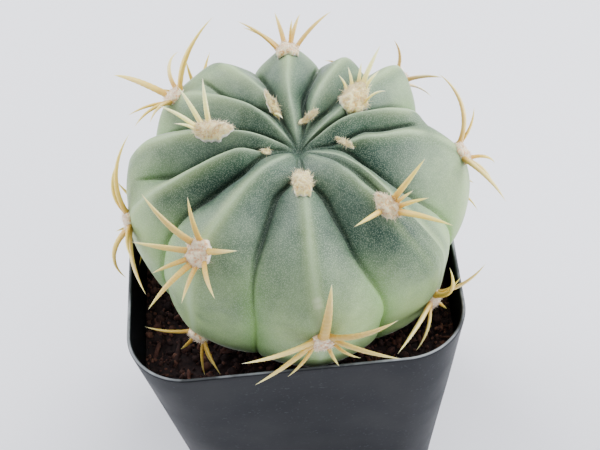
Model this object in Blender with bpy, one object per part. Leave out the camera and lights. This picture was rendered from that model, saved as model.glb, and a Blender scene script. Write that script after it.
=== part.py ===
"""Potted barrel cactus: a ribbed, spined stem in a square nursery pot.

Lengths are millimetres until MM turns them to metres, and angles are degrees. +Z is up.
The pot's underside lies on z = 0 with its middle at the origin, and the plant's front
faces -Y. Azimuths run anticlockwise seen from above, from 0 at +X.
"""
import math
import random

import bmesh
import bpy
import numpy as np

MM = 0.001
GAP = 0.3

# Pot: a tapered square with round corners, thin walls and drain holes in its base
POT_HEIGHT = 82.0
RIM_HALF_WIDTH = 45.0
RIM_CORNER = 17.0
BASE_HALF_WIDTH = 33.6
BASE_CORNER = 11.4
WALL = 1.1
BASE_THICKNESS = 1.6
CORNER_STEPS = 9
DRAIN_DIAMETER = 6.0
DRAIN_DISTANCE = 20.0

# Potting mix
MIX_BELOW_RIM = 12.0
MIX_BOTTOM = BASE_THICKNESS + GAP
FOOT_CLEARANCE = 0.45
FOOT_HOLE_SIDES = 56
FOOT_HOLE_ROWS = 16

# Stem: an egg-shaped envelope that the ribs reach, leaning to the front and right
STEM_CENTRE = (3.4, 0.0, 97.6)
LEAN_FRONT = 7.2
LEAN_RIGHT = 5.8
STEM_RADIUS = 44.3
CROWN_HEIGHT = 28.6
CROWN_POWER = 2.67
FOOT_DEPTH = 40.0
FOOT_POWER = 1.65
CROWN_DIMPLE = 6.0
DIMPLE_REACH = 9.0
STEM_ROWS = 25
RIB_COLUMNS = (-1.0, -0.72, -0.42, -0.16, 0.0, 0.16, 0.42, 0.72)

# Where along a rib its azimuth is given: near the crown, on the shoulder and on the side
CROWN_ARC = 10.0
SHOULDER_ARC = 33.0
SIDE_ARC = 60.0

# Ribs, anticlockwise: name, crest azimuth at crown, shoulder and side, how far the crest
# stands out at the side, the arc where a young rib starts (0: it reaches the centre), and
# how far the rib bulges under the waist
RIBS = (
    ("front", 270, 272, 275, 0.8, 9, 2.9),
    ("right_front", 314, 315, 321, 0.3, 0, 2.8),
    ("right_front_twin", 327, 321, 326, 0.0, 0, 2.6),
    ("right", 355, 6, 2, 2.2, 9, 0.0),
    ("right_twin", 26, 20, 14, -6.5, 0, 0.0),
    ("right_back", 36, 46, 50, 3.6, 0, 0.0),
    ("back_right", 69, 66, 62, -2.3, 5, 0.0),
    ("back", 98, 92, 89, 0.4, 0, 0.0),
    ("back_left", 118, 121, 125, 0.6, 9, 0.0),
    ("left_back", 138, 144, 146, -0.4, 0, 0.0),
    ("left", 172, 171, 169, 1.3, 0, 0.8),
    ("left_twin", 192, 196, 190, 0.8, 8, 1.4),
    ("left_front", 226, 227, 229, 0.0, 0, 2.2),
)

# Furrow after each rib: azimuth at crown, shoulder and side, depth at crown and side, and
# the arc past which it has run out between ribs that join (0: it runs all the way down)
FURROWS = (
    (288, 292, 299, 8.0, 3.4, 0),
    (321, 318, 323, 2.0, 0.0, 34),
    (339, 334, 338, 7.0, 3.6, 0),
    (12, 13, 8, 6.5, 0.0, 34),
    (31, 33, 30, 7.5, 5.5, 0),
    (53, 56, 56, 8.5, 5.0, 0),
    (82, 78, 76, 8.5, 4.6, 0),
    (108, 106, 107, 9.0, 7.5, 0),
    (129, 133, 137, 7.5, 0.0, 38),
    (158, 158, 160, 8.5, 6.0, 0),
    (183, 187, 180, 7.5, 0.0, 46),
    (208, 208, 212, 8.5, 3.0, 0),
    (247, 248, 252, 7.5, 3.2, 0),
)
FURROW_REACH = 13.0
FURROW_POWER = 1.3
# How much of the bulges beside it a furrow takes, where its ribs haven't joined
FURROW_BELLY = 0.3
CENTRE_CALM = 8.0

# Arcs between which a change happens; those of a start, an end or the waist count from it
CREST_OPENS = (-3.0, 9.0)
FURROWS_OPEN = (-3.0, 10.0)
CLOSED_SHARE = 0.08
FURROW_RUNS_OUT = (-12.0, 4.0)
FURROW_LEVELS = (24.0, 56.0)
CREST_LIFTS = (30.0, 52.0)
RIB_FADE = (2.0, 23.0)
LIFT_FADE = 11.0
BELLY_SWELLS = (0.0, 14.0)
BELLY_ENDS = (16.0, 25.0)

# A rib's section: how blunt its edge is and how round its flanks are, at crown and side
EDGE_BLUNTNESS = (0.08, 0.14)
EDGE_ARCS = (25.0, 60.0)
FLANK_ROUNDNESS = (0.30, 0.42)
FLANK_ARCS = (30.0, 60.0)
FLANK_POWER = 2.2

# Rows of the stem's mesh: the first ring's arc, and the foot's rows to its last ring
FIRST_ROW_ARC = 1.8
FOOT_ROWS = 8
LAST_ROW_SHORT = 6.0

# Areoles: felt pads with their spines, each spine a tapered, slightly flat thorn
PAD_RINGS = 3
PAD_SPOKES = 10
PAD_EDGE = 0.5
PAD_DOME = 0.9
PAD_TOUCH = 0.75
ROOT_OUT = 0.22
ROOT_DEPTH = 0.55
SPINE_SIDES = 4
SPINE_STEPS = 4
SPINE_WIDTH = 2.1
SPINE_DEPTH = 1.5
SPINE_TAPER = 0.7
SPINE_THINNEST = 0.45
SPINE_FULL_LENGTH = 28.0
OLD_SPINES = 6
OLD_LENGTH = (9.0, 14.0)
OLD_RISE = (15.0, 35.0)
OLD_BOW = (8.0, 24.0)
OLD_TURN = 20.0
OLD_STRAY = 12.0
SEED = 13

# Each areole: name, rib, arc from the crown's middle, pad width, length and height, and
# its spines as (bearing, rise, length, bow). A bearing turns clockwise, seen from
# outside, from the way up the rib. The rise is the mean angle off the rib, and the bow
# is how much steeper the root stands, and how much flatter the tip lies, than that. OLD
# marks a bunch that is drawn by the rule.
OLD = None
AREOLES = (
    ("front_wool", "front", 14, 6.4, 8.0, 1.6, ()),
    ("right_wool", "right", 12, 4.4, 5.5, 1.2, ()),
    ("back_right_wool", "back_right", 9, 3.4, 4.6, 1.2, ()),
    ("back_left_wool", "back_left", 13, 3.6, 5.0, 1.2, ((30, 55, 6, 5),)),
    ("left_wool", "left_twin", 9, 2.8, 3.4, 1.0, ()),
    ("right_back_upper", "right_back", 20, 6.6, 8.6, 2.0,
     ((174, 30, 13, 7), (126, 28, 6, 8), (155, 28, 7, 8), (196, 28, 7, 8), (95, 25, 5, 8),
      (255, 25, 7, 12))),
    ("left_upper", "left", 23, 5.4, 8.4, 1.8,
     ((261, 30, 12, 8), (229, 30, 12, 5), (192, 30, 12, 10), (170, 26, 7, 12))),
    ("right_front_upper", "right_front", 30, 6.0, 6.8, 1.6,
     ((79, 32, 14, 8), (100, 28, 6, 12), (123, 28, 9, 12), (155, 29, 16, 18),
      (282, 26, 11, 8))),
    ("back_upper", "back", 35, 5.0, 5.6, 1.5,
     ((108, 28, 14, 7), (169, 28, 13, 5), (203, 28, 12, 8), (243, 27, 15, 6),
      (128, 14, 14, 10), (205, 60, 7, 4))),
    ("left_front_upper", "left_front", 41, 5.4, 6.4, 1.5,
     ((299, 28, 19, 18), (342, 30, 15, 4), (255, 29, 15, 9), (57, 26, 16, 12),
      (217, 27, 11, 18), (187, 28, 17, 18), (156, 30, 12, 4), (111, 28, 14, 9))),
    ("left_back_upper", "left_back", 42, 4.8, 5.4, 1.4,
     ((330, 16, 25, 16), (262, 14, 14, 42), (198, 26, 24, 19), (118, 30, 12, 8),
      (95, 18, 14, 16), (75, 12, 13, 16), (300, 16, 15, 12))),
    ("right_upper", "right", 47, 4.8, 5.6, 1.4,
     ((43, 2, 22, 36), (55, 32, 11, 12), (178, 34, 9, 42), (274, 24, 24, 6),
      (268, 25, 15, 16))),
    ("left_lower", "left_twin", 57, 4.6, 5.4, 1.4,
     ((300, -6, 16, 36), (322, -12, 24, 30), (166, 4, 22, 38), (82, 2, 23, 12),
      (66, 8, 15, 12))),
    ("front_lower", "front", 59, 5.2, 5.4, 1.5,
     ((4, -3, 24, 8), (46, 14, 23, 12), (80, 27, 19, 4), (104, 26, 9, 15), (150, 26, 7, 10),
      (243, 27, 11, 8), (265, 25, 19, 3), (288, 17, 22, 6))),
    ("right_front_lower", "right_front", 68, 4.4, 4.8, 1.4,
     ((47, 18, 16, 16), (28, 14, 10, 12), (0, 3, 18, 38), (150, 28, 5, 12),
      (281, 11, 21, 2), (252, 20, 14, 18))),
    ("left_front_lower", "left_front", 76, 4.4, 4.8, 1.4,
     ((290, 22, 13, 6), (214, 38, 9, 12), (142, 44, 11, 8), (116, 28, 8, 8),
      (98, 24, 11, 2))),
    ("right_back_lower", "right_back", 55, 4.6, 5.2, 1.4,
     ((35, 14, 11, 32), (150, 30, 20, 22), (300, 20, 12, 16), (230, 25, 11, 16))),
    ("right_twin_lower", "right_twin", 68, 4.6, 5.2, 1.4, OLD),
    ("back_right_lower", "back_right", 56, 4.6, 5.2, 1.4,
     ((118, 30, 19, 22), (210, 25, 12, 16), (300, 12, 12, 14), (170, 25, 12, 16))),
    ("back_lower", "back", 70, 4.4, 5.0, 1.4, OLD),
    ("back_left_lower", "back_left", 62, 4.6, 5.2, 1.4, OLD),
    ("left_back_lower", "left_back", 74, 4.4, 5.0, 1.4, OLD),
    ("left_low", "left", 78, 4.4, 5.0, 1.4, OLD),
)


def clear_scene():
    for item in list(bpy.data.objects):
        bpy.data.objects.remove(item, do_unlink=True)


def new_collection(name):
    collection = bpy.data.collections.new(name)
    bpy.context.scene.collection.children.link(collection)
    return collection


def make_material(name, colour, roughness):
    material = bpy.data.materials.new(name)
    material.use_nodes = True
    shader = material.node_tree.nodes["Principled BSDF"]
    shader.inputs["Base Color"].default_value = (*colour, 1.0)
    shader.inputs["Roughness"].default_value = roughness
    shader.inputs["Metallic"].default_value = 0.0
    return material


def mesh_object(name, points, faces, collection, material=None, parent=None):
    """A new object from points in millimetres and lists of corner numbers."""
    mesh = bpy.data.meshes.new(name)
    mesh.from_pydata((np.asarray(points) * MM).tolist(), [], faces)
    mesh.update()
    item = bpy.data.objects.new(name, mesh)
    collection.objects.link(item)
    if material:
        mesh.materials.append(material)
    if parent:
        item.parent = parent
    return item


def wrapped_grid(rows, columns):
    """Faces between rings of points, each ring closed on itself."""
    corner = np.arange(rows * columns).reshape(rows, columns)
    lower, upper = corner[:-1], corner[1:]
    sides = (lower, np.roll(lower, -1, axis=1), np.roll(upper, -1, axis=1), upper)
    return np.stack(sides, axis=-1).reshape(-1, 4).tolist()


def face_outwards(item):
    """Turn every face of a closed mesh to the outside and split it into triangles."""
    work = bmesh.new()
    work.from_mesh(item.data)
    bmesh.ops.recalc_face_normals(work, faces=work.faces)
    bmesh.ops.triangulate(work, faces=work.faces)
    work.to_mesh(item.data)
    work.free()


def smooth_step(value, low, high):
    """0 below low, 1 above high, and an S-shaped rise between them."""
    part = np.clip((value - low) / (high - low), 0.0, 1.0)
    return part * part * (3.0 - 2.0 * part)


def turn_between(start, end):
    """The shortest way round from one azimuth to another."""
    return (end - start + 180.0) % 360.0 - 180.0


# Pot

def rounded_square(half_width, corner, height):
    """One ring of the pot: four straight sides and a quarter circle at each corner."""
    turn = np.radians(np.linspace(0.0, 90.0, CORNER_STEPS))
    centre = half_width - corner
    ring = []
    for quarter, (x_sign, y_sign) in enumerate(((1, 1), (-1, 1), (-1, -1), (1, -1))):
        angle = turn + quarter * math.pi / 2.0
        x = x_sign * centre + corner * np.cos(angle)
        y = y_sign * centre + corner * np.sin(angle)
        ring.append(np.column_stack((x, y, np.full(CORNER_STEPS, height))))
    return np.vstack(ring)


def pot_ring(height, inset):
    """The pot's outline at a height, moved in from its outside by inset."""
    share = height / POT_HEIGHT
    half_width = BASE_HALF_WIDTH + (RIM_HALF_WIDTH - BASE_HALF_WIDTH) * share - inset
    corner = BASE_CORNER + (RIM_CORNER - BASE_CORNER) * share - inset
    return rounded_square(half_width, corner, height)


def lofted(name, rings, collection, material):
    """A closed solid through rings with equal point counts, capped at both ends."""
    count = len(rings[0])
    faces = wrapped_grid(len(rings), count)
    faces.append(list(range(count)))
    faces.append(list(range((len(rings) - 1) * count, len(rings) * count)))
    item = mesh_object(name, np.vstack(rings), faces, collection, material)
    face_outwards(item)
    return item


def make_cylinder(name, diameter, height, place, collection):
    """A cylinder for cutting, hidden from the finished object."""
    work = bmesh.new()
    bmesh.ops.create_cone(work, cap_ends=True, segments=16, radius1=diameter / 2 * MM,
                          radius2=diameter / 2 * MM, depth=height * MM)
    return cutter_from(work, name, place, collection)


def cutter_from(work, name, place, collection):
    mesh = bpy.data.meshes.new(name)
    work.to_mesh(mesh)
    work.free()
    item = bpy.data.objects.new(name, mesh)
    item.location = [value * MM for value in place]
    item.hide_render = True
    item.display_type = "WIRE"
    collection.objects.link(item)
    return item


def cut(item, cutter):
    boolean = item.modifiers.new("cut_" + cutter.name, "BOOLEAN")
    boolean.operation = "DIFFERENCE"
    boolean.object = cutter


def make_pot(parts, cutters, material):
    """Thin walls up and over the rim and down to the floor, with a rounded lip."""
    lip = WALL / 2.0
    rings = [
        pot_ring(0.0, lip),
        pot_ring(lip, 0.0),
        pot_ring(POT_HEIGHT - lip, 0.0),
        pot_ring(POT_HEIGHT, lip / 2.0),
        pot_ring(POT_HEIGHT, WALL - lip / 2.0),
        pot_ring(POT_HEIGHT - lip, WALL),
        pot_ring(BASE_THICKNESS, WALL),
    ]
    pot = lofted("pot", rings, parts, material)
    for number, turn in enumerate((45, 135, 225, 315)):
        x = DRAIN_DISTANCE * math.sqrt(2.0) * math.cos(math.radians(turn))
        y = DRAIN_DISTANCE * math.sqrt(2.0) * math.sin(math.radians(turn))
        hole = make_cylinder(f"drain_hole_{number}", DRAIN_DIAMETER, 4 * BASE_THICKNESS,
                             (x, y, 0.0), cutters)
        cut(pot, hole)
    return pot


# Potting mix

def make_foot_hole(cutters, plant):
    """The plain hole for the plant's foot: its envelope below the waist, a little wider."""
    turn = np.radians(np.linspace(0.0, 360.0, FOOT_HOLE_SIDES, endpoint=False))
    rings = []
    for arc in np.linspace(WAIST_ARC + 8.0, END_ARC - 1.0, FOOT_HOLE_ROWS):
        radius, height, out, up = envelope(arc)
        away = radius + FOOT_CLEARANCE * out
        level = np.full(FOOT_HOLE_SIDES, height + FOOT_CLEARANCE * up)
        rings.append(np.column_stack((away * np.cos(turn), away * np.sin(turn), level)))
    hole = lofted("foot_hole", rings, cutters, None)
    hole.parent = plant
    hole.hide_render = True
    hole.display_type = "WIRE"
    return hole


def make_mix(parts, cutters, material, plant):
    """The filling of the pot, with the hole in which the plant stands."""
    top = POT_HEIGHT - MIX_BELOW_RIM
    rings = [pot_ring(MIX_BOTTOM, WALL + GAP), pot_ring(top, WALL + GAP)]
    mix = lofted("potting_mix", rings, parts, material)
    cut(mix, make_foot_hole(cutters, plant))
    return mix


# Stem

def envelope_table():
    """Radius and height along the envelope, from the top down, with the arc to each."""
    upper = np.radians(np.linspace(90.0, 0.0, 300))
    lower = np.radians(np.linspace(0.0, -90.0, 200))[1:]
    power = 2.0 / CROWN_POWER
    cosine = np.clip(np.cos(upper), 0.0, 1.0)
    radius = np.concatenate((STEM_RADIUS * cosine ** power, STEM_RADIUS * np.cos(lower)))
    depth = FOOT_DEPTH * np.abs(np.sin(lower)) ** (2.0 / FOOT_POWER)
    height = np.concatenate((CROWN_HEIGHT * np.sin(upper) ** power, -depth))
    steps = np.hypot(np.diff(radius), np.diff(height))
    arc = np.concatenate(([0.0], np.cumsum(steps)))
    return arc, radius, height


ARC, ARC_RADIUS, ARC_HEIGHT = envelope_table()
WAIST_ARC = ARC[299]
END_ARC = ARC[-1]


def envelope(arc):
    """Radius, height and the outward direction's two parts at an arc from the top."""
    radius = np.interp(arc, ARC, ARC_RADIUS)
    height = np.interp(arc, ARC, ARC_HEIGHT)
    step = 1.2
    along = np.interp(arc + step, ARC, ARC_RADIUS) - np.interp(arc - step, ARC, ARC_RADIUS)
    down = np.interp(arc + step, ARC, ARC_HEIGHT) - np.interp(arc - step, ARC, ARC_HEIGHT)
    length = np.hypot(along, down)
    return radius, height, -down / length, along / length


def bent_azimuth(crown, shoulder, side, arc):
    first = turn_between(crown, shoulder) * smooth_step(arc, CROWN_ARC, SHOULDER_ARC)
    second = turn_between(shoulder, side) * smooth_step(arc, SHOULDER_ARC, SIDE_ARC)
    return crown + first + second


def side_share(arc):
    """1 on the upper stem and 0 on the foot, where the ribs have run out."""
    return 1.0 - smooth_step(arc, WAIST_ARC + RIB_FADE[0], WAIST_ARC + RIB_FADE[1])


def crest_azimuth(rib, arc):
    return bent_azimuth(*RIBS[rib][1:4], arc)


def crest_lift(rib, arc):
    rise = smooth_step(arc, *CREST_LIFTS)
    return RIBS[rib][4] * rise * (1.0 - smooth_step(arc, WAIST_ARC, WAIST_ARC + LIFT_FADE))


def belly(rib, arc):
    below = arc - WAIST_ARC
    ends = smooth_step(below, *BELLY_ENDS)
    return RIBS[rib][6] * smooth_step(below, *BELLY_SWELLS) * (1.0 - ends)


def furrow_azimuth(rib, arc):
    """The furrow after a rib; beside a rib that is still starting it hugs its crest."""
    azimuth = bent_azimuth(*FURROWS[rib][:3], arc)
    for neighbour in (rib, (rib + 1) % len(RIBS)):
        start = RIBS[neighbour][5]
        if start:
            opened = smooth_step(arc - start, *FURROWS_OPEN)
            opened = CLOSED_SHARE + (1.0 - CLOSED_SHARE) * opened
            crest = crest_azimuth(neighbour, arc)
            azimuth = crest + turn_between(crest, azimuth) * opened
    return azimuth


def furrow_depth(rib, arc):
    crown, side, end = FURROWS[rib][3:]
    if end:
        share = smooth_step(arc - end, *FURROW_RUNS_OUT)
    else:
        share = smooth_step(arc, *FURROW_LEVELS)
    depth = crown + (side - crown) * share
    return depth * (1.0 - np.exp(-(arc / FURROW_REACH) ** FURROW_POWER)) * side_share(arc)


def furrow_floor(rib, arc):
    """How far the furrow after a rib lies below the envelope."""
    after = (rib + 1) % len(RIBS)
    lift = crest_lift(rib, arc) + crest_lift(after, arc)
    share = 1.0 if FURROWS[rib][5] else FURROW_BELLY
    swollen = share * (belly(rib, arc) + belly(after, arc))
    return furrow_depth(rib, arc) - 0.5 * (lift + swollen)


def crest_drop(rib, arc):
    """How far a crest lies below the envelope; a starting rib rises from its furrows."""
    drop = -crest_lift(rib, arc) - belly(rib, arc)
    start = RIBS[rib][5]
    if start:
        depth = 0.5 * (furrow_depth(rib, arc) + furrow_depth(rib - 1, arc))
        drop = drop + depth * (1.0 - smooth_step(arc - start, *CREST_OPENS))
    return drop


def rib_section(across, arc):
    """0 on the crest and 1 in the furrow: a blunt ridge blended with a round swelling."""
    blunt = EDGE_BLUNTNESS[0] + np.diff(EDGE_BLUNTNESS) * smooth_step(arc, *EDGE_ARCS)
    ridge = (np.hypot(across, blunt) - blunt) / (np.hypot(1.0, blunt) - blunt)
    swelling = 1.0 - np.sqrt(np.clip(1.0 - across ** FLANK_POWER, 0.0, 1.0))
    roundness = FLANK_ROUNDNESS[0] + np.diff(FLANK_ROUNDNESS) * smooth_step(arc, *FLANK_ARCS)
    return (1.0 - roundness) * ridge + roundness * swelling


def stem_surface(around, arc):
    """Points of the stem, in its own frame.

    around counts ribs, with its fraction the share of the way across a rib from one
    furrow to the next. The point starts on the envelope at that arc, at an azimuth
    between the rib's crest and its furrow, and sinks along the envelope's inward
    direction by the rib's section times the furrow's depth.
    """
    around, arc = np.broadcast_arrays(np.asarray(around, float), np.asarray(arc, float))
    around = around % len(RIBS)
    rib_number = np.floor(around).astype(int)
    azimuth = np.zeros(around.shape)
    sunk = np.zeros(around.shape)
    for rib in range(len(RIBS)):
        here = rib_number == rib
        if not here.any():
            continue
        place = arc[here]
        across = (around[here] - rib) * 2.0 - 1.0
        before = (rib - 1) % len(RIBS)
        crest = crest_azimuth(rib, place)
        to_after = turn_between(crest, furrow_azimuth(rib, place))
        to_before = turn_between(furrow_azimuth(before, place), crest)
        azimuth[here] = crest + across * np.where(across >= 0.0, to_after, to_before)
        section = rib_section(np.abs(across), place)
        bottom = np.where(across >= 0.0, furrow_floor(rib, place), furrow_floor(before, place))
        sunk[here] = crest_drop(rib, place) * (1.0 - section) + bottom * section
    radius, height, out, up = envelope(arc)
    sunk = sunk * smooth_step(arc, 0.0, CENTRE_CALM)
    dimple = CROWN_DIMPLE * np.exp(-(arc / DIMPLE_REACH) ** 2)
    turn = np.radians(azimuth)
    away = radius - sunk * out
    level = height - sunk * up - dimple
    return np.stack((away * np.cos(turn), away * np.sin(turn), level), axis=-1)


def make_stem(parts, material, plant):
    across = (np.array(RIB_COLUMNS) + 1.0) / 2.0
    around = (np.arange(len(RIBS))[:, None] + across[None, :]).ravel()
    crown_rows = np.linspace(FIRST_ROW_ARC, WAIST_ARC, STEM_ROWS - FOOT_ROWS)
    foot_rows = np.linspace(WAIST_ARC, END_ARC - LAST_ROW_SHORT, FOOT_ROWS + 1)[1:]
    arc = np.concatenate((crown_rows, foot_rows))
    rings = stem_surface(around[None, :], arc[:, None])
    count = len(around)
    top = rings[0].mean(axis=0)
    bottom = np.array((0.0, 0.0, -FOOT_DEPTH))
    points = np.vstack((rings.reshape(-1, 3), top, bottom))
    faces = wrapped_grid(len(arc), count)
    last = (len(arc) - 1) * count
    for column in range(count):
        following = (column + 1) % count
        faces.append([following, column, len(points) - 2])
        faces.append([last + column, last + following, len(points) - 1])
    stem = mesh_object("cactus_body", points, faces, parts, material, plant)
    face_outwards(stem)
    stem.data.shade_smooth()
    return stem


# Areoles

def areole_frame(rib, arc):
    """The point on a rib's crest, and the ways up the rib, to its right and outward."""
    middle = rib + 0.5
    place = stem_surface(middle, arc)
    up = stem_surface(middle, arc - 1.5) - stem_surface(middle, arc + 1.5)
    up = up / np.linalg.norm(up)
    along = stem_surface(middle + 0.12, arc) - stem_surface(middle - 0.12, arc)
    outward = np.cross(along, up)
    outward = outward / np.linalg.norm(outward)
    return place, up, np.cross(up, outward), outward


def draped_height(points, frame, rib, arc):
    """The highest the stem reaches near each point of an areole, above its frame."""
    place, up, right, outward = frame
    around = rib + 0.5 + np.linspace(-1.2, 1.2, 97)
    arcs = np.linspace(max(arc - 9.0, 0.5), arc + 9.0, 73)
    stem = stem_surface(around[None, :], arcs[:, None]).reshape(-1, 3) - place
    flat = np.column_stack((stem @ right, stem @ up))
    height = stem @ outward
    distance = np.linalg.norm(flat[None, :, :] - points[:, None, :], axis=-1)
    reach = np.where(distance < PAD_TOUCH, height[None, :], -np.inf)
    return reach.max(axis=1)


def pad_mesh(frame, rib, arc, width, length, rise):
    """A felt pad: its underside lies GAP off the rib and its top is domed."""
    place, up, right, outward = frame
    turn = np.radians(np.arange(PAD_SPOKES) * 360.0 / PAD_SPOKES)
    share = np.linspace(1.0, 0.0, PAD_RINGS + 1)[:-1]
    flat = np.stack((np.sin(turn)[None, :] * share[:, None] * width / 2.0,
                     np.cos(turn)[None, :] * share[:, None] * length / 2.0), axis=-1)
    flat = np.vstack((flat.reshape(-1, 2), (0.0, 0.0)))
    under = draped_height(flat, frame, rib, arc) + GAP
    radius = np.append(np.repeat(share, PAD_SPOKES), 0.0)
    dome = under[-1] + rise * np.sqrt(1.0 - PAD_DOME * radius ** 2)
    top = np.maximum(under + PAD_EDGE, np.minimum(dome, under + rise))

    def place_points(height):
        return place + flat[:, :1] * right + flat[:, 1:] * up + height[:, None] * outward

    points = np.vstack((place_points(under), place_points(top)))
    count = len(flat)
    faces = []
    ring_faces = wrapped_grid(PAD_RINGS, PAD_SPOKES)
    for base, flip in ((0, 1), (count, -1)):
        shell = [[base + corner for corner in face] for face in ring_faces]
        inner = base + (PAD_RINGS - 1) * PAD_SPOKES
        for spoke in range(PAD_SPOKES):
            following = (spoke + 1) % PAD_SPOKES
            shell.append([inner + spoke, inner + following, base + count - 1])
        faces.extend(face[::flip] for face in shell)
    for spoke in range(PAD_SPOKES):
        following = (spoke + 1) % PAD_SPOKES
        faces.append([spoke, following, count + following, count + spoke])
    return points, faces, under[-1]


def spine_mesh(frame, root, bearing, rise, length, bow):
    """A thorn: a flat diamond section carried along a path that bends towards the rib.

    The path leaves the pad at the rise plus the bow and ends at the rise less the bow,
    and the section shrinks to a point with a power of what is left.
    """
    _, up, right, outward = frame
    turn = math.radians(bearing)
    level = math.cos(turn) * up + math.sin(turn) * right
    across = np.cross(outward, level)
    share = np.linspace(0.0, 1.0, SPINE_STEPS + 1)
    angle = np.radians(rise + bow * (1.0 - share[1:] - share[:-1]))
    step = length / SPINE_STEPS
    legs = step * (np.cos(angle)[:, None] * level + np.sin(angle)[:, None] * outward)
    path = root + np.vstack((np.zeros(3), np.cumsum(legs, axis=0)))
    thick = np.clip(1.0 - share, 0.0, 1.0) ** SPINE_TAPER
    thick = thick * min(1.0, SPINE_THINNEST + length / SPINE_FULL_LENGTH)
    lift = np.cross(level, across)
    lift = lift * np.sign(lift @ outward)
    points = []
    for number in range(SPINE_STEPS):
        for side in range(SPINE_SIDES):
            around = 2.0 * math.pi * side / SPINE_SIDES
            offset = (across * math.cos(around) * SPINE_WIDTH / 2.0
                      + lift * math.sin(around) * SPINE_DEPTH / 2.0)
            points.append(path[number] + offset * thick[number])
    points.append(path[-1])
    faces = wrapped_grid(SPINE_STEPS, SPINE_SIDES)
    faces.append(list(range(SPINE_SIDES)))
    ring = (SPINE_STEPS - 1) * SPINE_SIDES
    for side in range(SPINE_SIDES):
        faces.append([ring + side, ring + (side + 1) % SPINE_SIDES, len(points) - 1])
    return points, faces


def old_spines(draw):
    """A bunch by rule: spines spaced round the pad, each with its own small stray."""
    spines = []
    first = draw.uniform(-OLD_TURN, OLD_TURN)
    for number in range(OLD_SPINES):
        stray = draw.uniform(-OLD_STRAY, OLD_STRAY)
        bearing = first + number * 360.0 / OLD_SPINES + stray
        spines.append((bearing, draw.uniform(*OLD_RISE), draw.uniform(*OLD_LENGTH),
                       draw.uniform(*OLD_BOW)))
    return spines


def join_collection(item, extra):
    """Join a collection's closed meshes to one object, and remove them."""
    boolean = item.modifiers.new("join", "BOOLEAN")
    boolean.operation = "UNION"
    boolean.operand_type = "COLLECTION"
    boolean.collection = extra
    bpy.context.view_layer.update()
    graph = bpy.context.evaluated_depsgraph_get()
    joined = bpy.data.meshes.new_from_object(item.evaluated_get(graph))
    item.modifiers.clear()
    item.data = joined
    for piece in list(extra.objects):
        bpy.data.objects.remove(piece, do_unlink=True)
    bpy.data.collections.remove(extra)


def make_areole(entry, parts, materials, plant, draw):
    name, rib_name, arc, width, length, rise, spines = entry
    rib = [row[0] for row in RIBS].index(rib_name)
    frame = areole_frame(rib, arc)
    place, up, right, outward = frame
    points, faces, under = pad_mesh(frame, rib, arc, width, length, rise)
    if spines is OLD:
        spines = old_spines(draw)
    material = materials["spines"] if spines else materials["wool"]
    areole = mesh_object("areole_" + name, points, faces, parts, material, plant)
    face_outwards(areole)
    if not spines:
        return
    thorns = new_collection("thorns_" + name)
    for number, (bearing, tilt, reach, bow) in enumerate(spines):
        turn = math.radians(bearing)
        away = ROOT_OUT * (math.cos(turn) * length * up + math.sin(turn) * width * right)
        root = place + away + (under + ROOT_DEPTH * rise) * outward
        points, faces = spine_mesh(frame, root, bearing, tilt, reach, bow)
        thorn = mesh_object(f"thorn_{name}_{number}", points, faces, thorns, material, plant)
        face_outwards(thorn)
    join_collection(areole, thorns)


def build():
    clear_scene()
    parts = new_collection("potted_barrel_cactus")
    cutters = new_collection("cutters")
    materials = {
        "pot": make_material("pot_plastic", (0.018, 0.022, 0.028), 0.45),
        "mix": make_material("potting_grit", (0.030, 0.012, 0.008), 0.95),
        "stem": make_material("cactus_skin", (0.130, 0.240, 0.145), 0.55),
        "wool": make_material("areole_wool", (0.800, 0.690, 0.520), 0.90),
        "spines": make_material("spine_horn", (0.680, 0.420, 0.170), 0.50),
    }
    plant = bpy.data.objects.new("plant_axis", None)
    plant.location = [value * MM for value in STEM_CENTRE]
    plant.rotation_euler = (math.radians(LEAN_FRONT), math.radians(LEAN_RIGHT), 0.0)
    parts.objects.link(plant)
    make_pot(parts, cutters, materials["pot"])
    make_mix(parts, cutters, materials["mix"], plant)
    make_stem(parts, materials["stem"], plant)
    draw = random.Random(SEED)
    for entry in AREOLES:
        make_areole(entry, parts, materials, plant, draw)


build()
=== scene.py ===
"""The looks of a potted barrel cactus: its skin, spines, felt, potting mix and pot.

Lengths are millimetres until MM turns them to metres, and angles are degrees. The stem,
the felt and the spines follow the solids' own formulas, worked out on finer grids.
"""
import math
import random

import bpy
import numpy as np
from mathutils import Euler, Matrix


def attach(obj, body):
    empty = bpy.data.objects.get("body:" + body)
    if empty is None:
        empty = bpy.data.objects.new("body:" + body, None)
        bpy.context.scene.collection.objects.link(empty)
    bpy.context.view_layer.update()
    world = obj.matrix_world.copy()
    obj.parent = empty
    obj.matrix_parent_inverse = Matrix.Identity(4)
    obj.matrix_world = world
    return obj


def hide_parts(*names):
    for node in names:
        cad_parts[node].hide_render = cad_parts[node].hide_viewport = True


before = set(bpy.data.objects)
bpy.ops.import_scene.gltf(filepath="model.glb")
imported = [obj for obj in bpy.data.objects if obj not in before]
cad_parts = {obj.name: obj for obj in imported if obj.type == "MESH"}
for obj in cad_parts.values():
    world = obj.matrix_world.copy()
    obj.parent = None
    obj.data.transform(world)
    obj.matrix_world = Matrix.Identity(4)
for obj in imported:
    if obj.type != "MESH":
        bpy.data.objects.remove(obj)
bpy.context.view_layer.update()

MM = 0.001
GAP = 0.3

# Pot
POT_HEIGHT = 82.0
RIM_HALF_WIDTH = 45.0
RIM_CORNER = 17.0
BASE_HALF_WIDTH = 33.6
BASE_CORNER = 11.4
WALL = 1.1
BASE_THICKNESS = 1.6
DRAIN_DIAMETER = 6.0
DRAIN_DISTANCE = 20.0
POT_COLUMNS = 288
POT_WAVE = 0.12
# How far the lip's pale band, partly wear and partly a painted highlight, reaches
LIP_WEAR_AND_HIGHLIGHT = 0.13

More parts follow.
